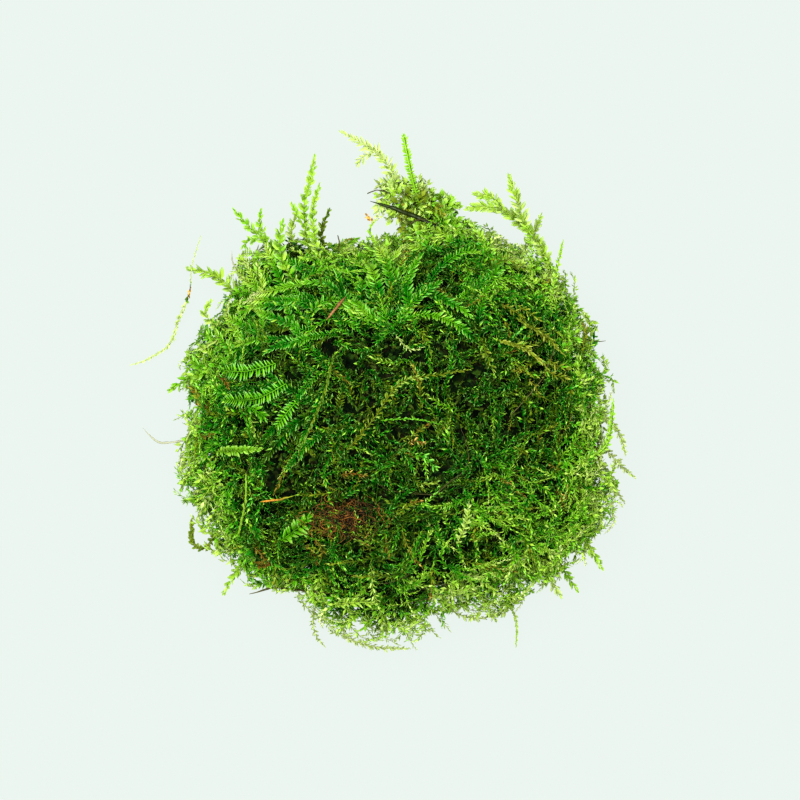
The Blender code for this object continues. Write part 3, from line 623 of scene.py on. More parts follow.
class Growth(Nodes):
    """A Geometry Nodes tree that grows something along lines."""

    def __init__(self, name, lengths=(), numbers=(), shares=(), turns=()):
        super().__init__(bpy.data.node_groups.new(name, "GeometryNodeTree"))
        face = self.tree.interface
        face.new_socket("Lines", in_out="INPUT", socket_type="NodeSocketGeometry")
        for names, kind, subtype in (
            (lengths, "NodeSocketFloat", "DISTANCE"),
            (shares, "NodeSocketFloat", "FACTOR"),
            (turns, "NodeSocketFloat", "ANGLE"),
            (numbers, "NodeSocketInt", "NONE"),
        ):
            for name in names:
                socket = face.new_socket(name, in_out="INPUT", socket_type=kind)
                socket.subtype = subtype
        face.new_socket("Material", in_out="INPUT", socket_type="NodeSocketMaterial")
        face.new_socket("Mesh", in_out="OUTPUT", socket_type="NodeSocketGeometry")
        self.input = self.tree.nodes.new("NodeGroupInput").outputs
        self.output = self.tree.nodes.new("NodeGroupOutput").inputs[0]

    def read(self, name, kind="FLOAT"):
        return self.out("GeometryNodeInputNamedAttribute", {"Name": name}, data_type=kind)

    def store(self, geometry, name, value, kind="FLOAT", domain="POINT"):
        return self.out(
            "GeometryNodeStoreNamedAttribute",
            {"Geometry": geometry, "Name": name, "Value": value},
            data_type=kind, domain=domain,
        )

    def resampled(self, curve, spacing):
        inputs = {"Curve": curve, "Length": spacing}
        return self.out("GeometryNodeResampleCurve", inputs, mode="LENGTH")

    def position(self):
        """X, Y and Z of each point."""
        place = self.out("GeometryNodeInputPosition")
        return self.add("ShaderNodeSeparateXYZ", {0: place}).outputs

    def random(self, low, high, step):
        """A random value for each point. Step tells one use of the seed from another."""
        seed = self.plus(self.input["Seed"], float(step))
        return self.out(
            "FunctionNodeRandomValue", {"Min": low, "Max": high, "Seed": seed}, data_type="FLOAT"
        )

    def swept(self, curve, radius, sides):
        """A closed tube along the curve, which carries the marks for its colours."""
        part = self.add("GeometryNodeSplineParameter").outputs["Factor"]
        ring = self.out(
            "GeometryNodeCurvePrimitiveCircle", {"Resolution": sides, "Radius": 1.0}, mode="RADIUS"
        )
        ring = self.store(ring, "across", self.maths("SUBTRACT", part, 0.35))
        curve = self.store(curve, "along", self.times(part, STEM_SHARE))
        return self.out(
            "GeometryNodeCurveToMesh",
            {"Curve": curve, "Profile Curve": ring, "Scale": radius, "Fill Caps": True},
        )

    def held_in(self, mesh):
        """The mesh eased back where it would go under the table or past the crown."""
        x, y, z = self.position()
        low, high, room = LOW_EASE * MM, HIGH_EASE * MM, HIGH_ROOM * MM
        below = self.maths("DIVIDE", self.maths("SUBTRACT", z, low), low)
        pressed = self.times(self.maths("EXPONENT", below), low)
        above = self.maths("DIVIDE", self.maths("SUBTRACT", high, z), room)
        rounded = self.maths("SUBTRACT", 1.0, self.maths("EXPONENT", above))
        capped = self.times(rounded, room, high)
        floor_held = self.chosen(self.maths("LESS_THAN", z, low), z, pressed)
        height = self.chosen(self.maths("GREATER_THAN", z, high), floor_held, capped)
        return self.out(
            "GeometryNodeSetPosition", {"Geometry": mesh, "Position": self.joined(x, y, height)}
        )

    def chosen(self, factor, first, second):
        inputs = {"Factor": factor, "A": first, "B": second}
        return self.out("ShaderNodeMix", inputs, data_type="FLOAT")

    def finish(self, mesh):
        """Marks the mesh's own map with tint and place along, and ends the tree."""
        mesh = self.out("GeometryNodeRealizeInstances", {"Geometry": mesh})
        mesh = self.held_in(mesh)
        tint = self.times(self.read("across"), TINT_WIDTH, self.read("tint"))
        tint = self.maths("MINIMUM", self.maths("MAXIMUM", tint, 0.002), 0.998)
        place = self.joined(tint, self.read("along"))
        mesh = self.store(mesh, "OFBake", place, "FLOAT2", "CORNER")
        inputs = {"Geometry": mesh, "Material": self.input["Material"]}
        self.tree.links.new(self.out("GeometryNodeSetMaterial", inputs), self.output)
        return self.tree


# How the marks on a piece's own map are laid out: stems take the first share of the
# way from stem to leaf tip, and a leaf is this wide in tint.
STEM_SHARE = 0.05
TINT_WIDTH = 0.0012

# How far along a leaf it is widest.
WIDEST_AT = 0.42

# Where leaves are eased off the table and the crown, in millimetres.
LOW_EASE = 0.5
HIGH_EASE = 31.2
HIGH_ROOM = 1.4


def leafy_shoots_tree():
    """Leaves set along lines in a spiral or in two flat rows, and the stems that bear them."""
    grow = Growth(
        LEAFY,
        lengths=("Leaf Length", "Leaf Width", "Leaf Spacing", "Stem Radius"),
        shares=("Flatness", "Leaf Curl", "Tint Spread", "Pale Share"),
        turns=("Leaf Angle",),
        numbers=("Leaf Sides", "Leaf Rings", "Seed"),
    )
    given = grow.input
    line = grow.out("GeometryNodeMeshToCurve", {"Mesh": given["Lines"]})
    points = grow.resampled(line, given["Leaf Spacing"])
    spline = grow.add("GeometryNodeSplineParameter")
    part, index = spline.outputs["Factor"], spline.outputs["Index"]

    # The stem's own directions at each leaf.
    ahead = grow.out("GeometryNodeInputTangent")
    side = grow.vector("CROSS_PRODUCT", ahead, grow.read("outward", "FLOAT_VECTOR"))
    side = grow.vector("NORMALIZE", side)
    out = grow.vector("CROSS_PRODUCT", side, ahead)

    # Which way round the stem a leaf stands.
    odd = grow.maths("FLOORED_MODULO", index, 2.0)
    row = grow.times(odd, math.pi, -0.5 * math.pi)
    spiral = grow.times(index, GOLDEN_TURN)
    round_stem = grow.chosen(given["Flatness"], spiral, row)
    round_stem = grow.plus(round_stem, grow.random(-0.4, 0.4, 1))
    stand = grow.vector(
        "ADD",
        grow.scaled(out, grow.maths("COSINE", round_stem)),
        grow.scaled(side, grow.maths("SINE", round_stem)),
    )

    # Leaves near the tip close up round it.
    closing = grow.curve(part, [(0.0, 1.0), (0.6, 0.95), (1.0, 0.35)])
    angle = grow.times(given["Leaf Angle"], closing)
    angle = grow.plus(angle, grow.random(-0.22, 0.22, 2))
    cosine, sine = grow.maths("COSINE", angle), grow.maths("SINE", angle)
    leaf_way = grow.vector("ADD", grow.scaled(ahead, cosine), grow.scaled(stand, sine))
    facing_tip = grow.vector("SUBTRACT", grow.scaled(ahead, sine), grow.scaled(stand, cosine))
    face = grow.vector(
        "ADD",
        grow.scaled(facing_tip, grow.maths("SUBTRACT", 1.0, given["Flatness"])),
        grow.scaled(out, given["Flatness"]),
    )
    face = grow.vector("ADD", face, grow.scaled(ahead, grow.random(-0.5, 0.5, 3)))
    turned = grow.out(
        "FunctionNodeAxesToRotation", {"Primary Axis": leaf_way, "Secondary Axis": face},
        primary_axis="Z", secondary_axis="X",
    )

    # One leaf, with a keel.
    ball = grow.out(
        "GeometryNodeMeshUVSphere",
        {"Segments": given["Leaf Sides"], "Rings": given["Leaf Rings"], "Radius": 1.0},
    )
    x, y, z = grow.position()
    part_up = grow.times(z, 0.5, 0.5)
    along = grow.curve(part_up, [(0.0, 0.0), (0.5, WIDEST_AT), (1.0, 1.0)], "VECTOR")
    ball = grow.store(ball, "along", grow.times(along, 1.0 - STEM_SHARE, STEM_SHARE))
    ball = grow.store(ball, "across", y)
    keel = grow.times(x, grow.times(given["Leaf Width"], 0.22))
    curl = grow.times(grow.times(along, along), given["Leaf Curl"])
    leaf = grow.out("GeometryNodeSetPosition", {
        "Geometry": ball,
        "Position": grow.joined(
            grow.plus(keel, grow.times(curl, given["Leaf Length"])),
            grow.times(y, grow.times(given["Leaf Width"], 0.56)),
            grow.times(along, given["Leaf Length"]),
        ),
    })

    # Leaves are small at the root and dwindle to the tip.
    swelling = grow.curve(part, [(0.0, 0.6), (0.25, 1.0), (0.75, 0.9), (1.0, 0.35)])
    size = grow.times(swelling, grow.read("size"))
    size = grow.times(size, grow.random(0.75, 1.15, 4))
    tint = grow.times(grow.random(-1.0, 1.0, 5), given["Tint Spread"], grow.read("tint"))
    # A share of leaves is painted pale, as glints on wet leaves.
    is_painted_glint = grow.maths("LESS_THAN", grow.random(0.0, 1.0, 6), given["Pale Share"])
    tint = grow.chosen(grow.times(is_painted_glint, 0.6), tint, PALE_TINT)
    points = grow.store(points, "tint", tint)
    leaves = grow.out("GeometryNodeInstanceOnPoints", {
        "Points": points, "Instance": leaf, "Rotation": turned,
        "Scale": grow.joined(size, size, size),
    })
    leaves = grow.out("GeometryNodeRealizeInstances", {"Geometry": leaves})

    thinning = grow.curve(part, [(0.0, 1.0), (0.7, 0.8), (1.0, 0.4)])
    thickness = grow.times(thinning, grow.read("size"))
    radius = grow.times(given["Stem Radius"], thickness)
    stem = grow.swept(grow.resampled(line, grow.times(given["Leaf Spacing"], 6.0)), radius, 3)
    both = grow.tree.nodes.new("GeometryNodeJoinGeometry")
    for part_of_it in (leaves, stem):
        grow.tree.links.new(part_of_it, both.inputs[0])
    return grow.finish(both.outputs[0])


def bare_stems_tree():
    """Thin closed stems along lines, with knots and small bends."""
    grow = Growth(
        BARE,
        lengths=("Stem Radius", "Segment Length", "Crook"),
        numbers=("Sides", "Seed"),
    )
    given = grow.input
    line = grow.out("GeometryNodeMeshToCurve", {"Mesh": given["Lines"]})
    line = grow.resampled(line, given["Segment Length"])
    place = grow.out("GeometryNodeInputPosition")
    bends = grow.add("ShaderNodeTexNoise", {"Vector": place, "Scale": 420.0, "Detail": 2.0})
    crook = grow.scaled(
        grow.vector("SUBTRACT", bends.outputs["Color"], (0.5, 0.5, 0.5)), given["Crook"]
    )
    line = grow.out("GeometryNodeSetPosition", {"Geometry": line, "Offset": crook})
    part = grow.add("GeometryNodeSplineParameter").outputs["Factor"]
    thinning = grow.curve(part, [(0.0, 0.9), (0.5, 1.0), (1.0, 0.35)])
    knots = grow.times(grow.random(0.82, 1.25, 1), grow.read("size"))
    radius = grow.times(given["Stem Radius"], grow.times(thinning, knots))
    return grow.finish(grow.swept(line, radius, given["Sides"]))


LEAFY, BARE = "Leafy Shoots", "Bare Stems"
TREES = {LEAFY: leafy_shoots_tree, BARE: bare_stems_tree}


# Finishes.


def new_material(name):
    material = bpy.data.materials.new(name)
    material.use_nodes = True
    return material, Nodes(material.node_tree), material.node_tree.nodes["Principled BSDF"]


def shown(nodes, share, shader, other):
    """Ends a material with its shader and this share of the other."""
    inputs = {0: share, 1: shader.outputs[0], 2: other}
    mixed = nodes.out("ShaderNodeMixShader", inputs)
    nodes.fill(nodes.tree.nodes["Material Output"], {"Surface": mixed})


def ramp(nodes, value, stops):
    """A colour ramp through (place, colour) stops."""
    node = nodes.add("ShaderNodeValToRGB", {0: value})
    elements = node.color_ramp.elements
    elements[0].position, elements[1].position = stops[0][0], stops[-1][0]
    for place, _ in stops[1:-1]:
        elements.new(place)
    for element, (_, shade) in zip(elements, stops):
        element.color = (*shade, 1.0)
    return node.outputs[0]


def blended(nodes, factor, first, second, kind="MIX"):
    inputs = {"Factor": factor, "A": first, "B": second}
    return nodes.out("ShaderNodeMix", inputs, data_type="RGBA", blend_type=kind)


def eased(nodes, value, low, high, to_low=0.0, to_high=1.0):
    return nodes.out(
        "ShaderNodeMapRange",
        {"Value": value, "From Min": low, "From Max": high, "To Min": to_low, "To Max": to_high},
        interpolation_type="SMOOTHSTEP",
    )


def leaf_material(name, see_through, roughness, shading=0.45, tip="tip", least_paling=0.1):
    """Wet, thin leaves. Their own map holds the tint across and stem to tip along.

    Shading is how much painted shade darkens a leaf where it meets its stem. The tip colour
    pales a leaf's end, partly as its own paler end and partly as a painted glint on the wet
    leaf. Least paling is how pale the ends of old leaves are.
    """
    colours = bpy.context.scene.moss_colours
    material, nodes, shader = new_material(name)
    marks = nodes.add("ShaderNodeUVMap", uv_map="OFBake")
    tint, along, _ = nodes.add("ShaderNodeSeparateXYZ", {0: marks.outputs[0]}).outputs
    body = ramp(nodes, tint, [
        (0.01, colours.withered), (0.06, colours.dead), (0.13, colours.rusty),
        (0.22, colours.olive), (0.34, colours.dark_olive), (SHADED_TINT, colours.shaded),
        (0.55, colours.deep_green), (0.68, colours.bright_green), (0.84, colours.yellow_green),
        (0.99, colours.pale),
    ])
    from_stem = eased(nodes, along, 0.1, 0.5)
    # Painted shade: leaves are darker where they meet the stem.
    painted_shade_at_stem = blended(nodes, shading, body, (0.0, 0.0, 0.0, 1.0))
    base = blended(nodes, from_stem, painted_shade_at_stem, body)
    # The leaf's end is blended to the tip colour: partly its own paler end, partly a painted
    # glint.
    paling = nodes.times(eased(nodes, along, 0.5, 0.95),
                         eased(nodes, tint, 0.1, 0.75, least_paling, 0.8))
    leaf = blended(nodes, paling, base, (*getattr(colours, tip), 1.0))
    stem = blended(nodes, eased(nodes, tint, 0.3, 0.9, 0.2, 0.0), body, (*colours.old_stem, 1.0))
    whole = blended(nodes, nodes.maths("LESS_THAN", along, STEM_SHARE + 0.002), leaf, stem)
    nodes.fill(shader, {
        "Base Color": whole,
        "Roughness": eased(nodes, along, 0.3, 1.0, roughness, min(roughness + 0.2, 1.0)),
        "Specular IOR Level": 0.5,
        "Specular Tint": (0.6, 1.0, 0.4, 1.0),
    })
    lit_through = blended(nodes, 1.0, whole, (1.0, 1.0, 0.75, 1.0), "MULTIPLY")
    thin = nodes.out("ShaderNodeBsdfTranslucent", {"Color": lit_through})
    shown(nodes, see_through, shader, thin)
    return material


def stem_material(name, light, roughness, darkest=0.4, far=None):
    """Fibrous stems. Their own map holds the tint across and root to tip along.

    A far colour is what the stem fades to at its tip.
    """
    colours = bpy.context.scene.moss_colours
    light = getattr(colours, light)
    dark = (*(darkest * value for value in light), 1.0)
    light = (*light, 1.0)
    material, nodes, shader = new_material(name)
    marks = nodes.add("ShaderNodeUVMap", uv_map="OFBake")
    stretched = nodes.out(
        "ShaderNodeMapping", {"Vector": marks.outputs[0], "Scale": (9.0, 260.0, 1.0)}
    )
    fibres = nodes.out("ShaderNodeTexNoise", {"Vector": stretched, "Scale": 3.0, "Detail": 5.0})
    tint, along, _ = nodes.add("ShaderNodeSeparateXYZ", {0: marks.outputs[0]}).outputs
    shade = nodes.times(fibres, 0.9, nodes.maths("SUBTRACT", tint, 0.5))
    fibre = blended(nodes, eased(nodes, shade, 0.15, 0.8), dark, light)
    if far:
        fading = eased(nodes, along, 0.3 * STEM_SHARE, STEM_SHARE)
        fibre = blended(nodes, fading, fibre, (*getattr(colours, far), 1.0))
    nodes.fill(shader, {
        "Base Color": fibre,
        "Roughness": eased(nodes, fibres, 0.2, 0.8, roughness - 0.12, roughness + 0.1),
        "Specular IOR Level": 0.3,
    })
    return material


def tangle_and_shade_material():
    """The dark heart of the mat: felted old stems and leaf litter, in near-black colours that also
    paint the shade deep inside.
    """
    colours = bpy.context.scene.moss_colours
    material, nodes, shader = new_material("inner_tangle")
    place = nodes.add("ShaderNodeTexCoord").outputs["Object"]
    drift = nodes.add("ShaderNodeTexNoise", {"Vector": place, "Scale": 500.0, "Detail": 3.0})
    bent = nodes.vector("ADD", place, nodes.scaled(drift.outputs["Color"], 0.002))
    scraps = nodes.add("ShaderNodeTexVoronoi", {"Vector": bent, "Scale": 1500.0})
    odd = nodes.add("ShaderNodeSeparateXYZ", {0: scraps.outputs["Color"]}).outputs[0]
    shade = ramp(nodes, odd, [
        (0.0, (0.0, 0.002, 0.0)), (0.45, colours.tangle), (0.62, (0.012, 0.008, 0.002)),
        (0.78, (0.010, 0.045, 0.002)), (0.97, (0.060, 0.085, 0.010)),
    ])
    nodes.fill(shader, {
        "Base Color": shade,
        "Roughness": eased(nodes, odd, 0.0, 1.0, 1.0, 0.6),
        "Normal": nodes.out("ShaderNodeBump", {
            "Strength": 1.0, "Distance": 0.0005, "Height": scraps.outputs["Distance"],
        }),
        "Specular IOR Level": 0.15,
    })
    return material


# The looks of leaves and stems, with the names of their colours.
LEAF_FINISHES = {
    "fresh_leaf": dict(see_through=0.36, roughness=0.26),
    "old_leaf": dict(see_through=0.26, roughness=0.30),
    "edge_leaf": dict(see_through=0.36, roughness=0.42, shading=0.10),
    "standing_leaf": dict(see_through=0.36, roughness=0.42, shading=0.05, tip="standing_tip"),
    "tan_leaf": dict(see_through=0.30, roughness=0.45, shading=0.10, tip="tan", least_paling=0.6),
    "silvery_leaf": dict(see_through=0.28, roughness=0.35, shading=0.40, tip="silvery"),
    "soft_leaf": dict(see_through=0.33, roughness=0.50, shading=0.0, tip="standing_tip"),
    "pressed_leaf": dict(see_through=0.20, roughness=0.60),
}
STEM_FINISHES = {
    "old_stem": dict(light="old_stem", roughness=0.60),
    "pale_stem": dict(light="pale_stem", roughness=0.60, darkest=0.70),
    "dark_stem": dict(light="dark_stem", roughness=0.50),
    "straw": dict(light="straw", roughness=0.60, darkest=0.45, far="olive"),
    "rhizoid": dict(light="rust", roughness=0.60, darkest=0.03),
    "twig": dict(light="twig", roughness=0.65, darkest=0.30),
}


def material_named(name):
    """The finish of this name, made when it is first asked for."""
    found = bpy.data.materials.get(name)
    if found:
        return found
    if name in LEAF_FINISHES:
        return leaf_material(name, **LEAF_FINISHES[name])
    return stem_material(name, **STEM_FINISHES[name])


# Making pieces.


def new_object(name, mesh):
    obj = bpy.data.objects.new(name, mesh)
    bpy.context.scene.collection.objects.link(obj)
    return obj


def grown(name, lines, kind, material_name, **values):
    """The lines grown through a node tree, as a plain mesh. Values are for the tree's inputs."""
    tree = bpy.data.node_groups.get(kind) or TREES[kind]()
    material = material_named(material_name)
    mesh = lines.mesh(name)
    mesh.materials.append(material)
    obj = new_object(name, mesh)
    modifier = obj.modifiers.new("Grow", "NODES")
    modifier.node_group = tree
    inputs = {
        item.name.lower().replace(" ", "_"): item.identifier
        for item in tree.interface.items_tree if item.in_out == "INPUT"
    }
    for label, value in {"material": material, **values}.items():
        modifier[inputs[label]] = value
    graph = bpy.context.evaluated_depsgraph_get()
    result = bpy.data.meshes.new_from_object(obj.evaluated_get(graph))
    obj.modifiers.remove(modifier)
    result.materials.clear()
    result.materials.append(material)
    obj.data = result
    for label in ("outward", "size", "tint", "along", "across"):
        attribute = result.attributes.get(label)
        if attribute is not None:
            result.attributes.remove(attribute)
    return obj


def leafy(name, lines, material_name, settings, **others):
    """Leafy shoots with leaves as their group's settings have them, but for the others."""
    values = dict(leaf_curl=0.0, tint_spread=0.05, pale_share=0.03, leaf_sides=3, leaf_rings=2)
    for label in ("leaf_length", "leaf_width", "leaf_spacing", "leaf_angle", "flatness",
                  "stem_radius", "seed"):
        values[label] = getattr(settings, label)
    return grown(name, lines, LEAFY, material_name, **{**values, **others})


def settled(obj, slot, *nodes):
    """Hands a finished piece to the part and hides the nodes that it stands for. The slot is not
    used.
    """
    if not len(obj.data.polygons):
        raise RuntimeError(f"{obj.name} came out empty")
    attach(obj, "root")
    if nodes:
        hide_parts(*nodes)
    return obj


def liked(chance, ways, liking, count):
    """As many ways as asked for, more of them where liking is high and fewer where it's thin."""
    thin = THINNING * near_any(DOME.place(ways), THIN_SPOTS, THIN_RADIUS)
    return ways[chance.uniform(0, 1, len(ways)) < liking * (1.0 - thin)][:count]


def left_at_bottom(paths, chance, share):
    """Which lines stay, so that the photograph's bottom edge can be seen through."""
    at_bottom = paths[:, -1, 1] < SEE_THROUGH_BELOW
    return ~at_bottom | (chance.uniform(0.0, 1.0, len(paths)) < share)


def clear_of_sprigs(paths):
    """Which lines stay, so that the sprigs at the upper left stand clear of the mat."""
    left, right, bottom = SPRIG_GAP
    across, up = paths[..., 0], paths[..., 1]
    return ~((across > left) & (across < right) & (up > bottom)).any(1)


def laid_paths():
    """The pieces that lie on the mat: each one's middle line, and the room that it takes."""
    found = []
    for name, row in LYING.items():
        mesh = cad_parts[name].data
        tree = BVHTree.FromPolygons(
            [vertex.co for vertex in mesh.vertices], [face.vertices for face in mesh.polygons]
        )
        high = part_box(name)[1]
        flat = smooth_line(row["path"], LINE_POINTS)
        heights = []
        for x, y in flat:
            above = Vector((x * MM, y * MM, high.z + 0.01))
            hit = tree.ray_cast(above, Vector((0.0, 0.0, -1.0)))[0]
            heights.append(hit.z / MM if hit else np.nan)
        heights = np.array(heights)
        good = ~np.isnan(heights)
        heights = np.interp(np.arange(LINE_POINTS), np.flatnonzero(good), heights[good])
        found.append((np.column_stack([flat, heights]), row["half_width"] + 0.5))
    return found


def on_mat(points, lift):
    """Flat points raised to a height above the mat's top."""
    points = np.array(points)
    level = points - MAT_CENTRE[:2]
    out, height = PROFILE[: PROFILE[:, 0].argmax() + 1].T
    top = np.interp(np.linalg.norm(level, axis=1) / rim_towards(level), out, height) * MAT_HEIGHT
    places = np.column_stack([points, top])
    places[:, 2] += DOME.swell(places) + lift
    return places


def pressed_under(paths, laid):
    """The paths pressed down where pieces lie on the mat, so that those show."""
    shape = paths.shape
    flat = paths.reshape(-1, 3).copy()
    for line, clear in laid:
        away = np.linalg.norm(flat[:, None, :2] - line[None, :, :2], axis=2)
        nearest = away.argmin(1)
        distance = away[np.arange(len(flat)), nearest]
        rise = PRESSED_RISE * np.maximum((distance - clear) / PRESSED_WIDTH, 0.0)
        limit = line[nearest, 2] - PRESSED_DEPTH + rise
        near = distance < clear + 2.0 * PRESSED_WIDTH
        flat[:, 2] = np.where(near, np.minimum(flat[:, 2], limit), flat[:, 2])
    return flat.reshape(shape)


# The tables of pieces.


def shoot(tint, half_width, *path, **others):
    """A leafy row of the tables. Others take the place of what most shoots have.

    Leaf is a leaf's length for each millimetre of half width. Blunt is how much larger the
    leaves at the tip are.
    """
    usual = dict(
        leaf=1.2, width=max(0.5 * half_width, 0.36), spacing=max(0.19 * half_width, 0.17),
        angle=52.0, flatness=0.6, stem=0.1, blunt=0.0, root_share=0.0, branches=(), buds=(),
        finish="standing_leaf" if tint > STANDING_FINISH_FROM else "fresh_leaf",
    )
    return {**usual, "tint": tint, "half_width": half_width, "path": path, **others}


def bare(finish, half_width, *path, slot="old_stems"):
    """A bare stem's row of the tables."""
    return dict(finish=finish, half_width=half_width, path=path, slot=slot)


# The leaves of the big curved fronds at the left.
COMB = dict(finish="silvery_leaf", width=0.30, leaf=1.05, spacing=0.24, angle=72.0, flatness=1.0)

# How far a withered bead reaches along the strand that bears it, and how large leaves are at
# such a strand's root and on side shoots. Shoots paler than the limit take the standing finish,
# with less painted shade at the leaf base and a tip colour that paints light shining through.
BEAD_REACH = 0.9
ROOT_SIZE = 0.5
BRANCH_SIZE = 0.75
STANDING_FINISH_FROM = 0.76
LYING_LIFT = 0.1

# The edge can be seen through from this Y down.
SEE_THROUGH_BELOW = -30.5
WITHERED_TINT = 0.01
LINE_POINTS = 24

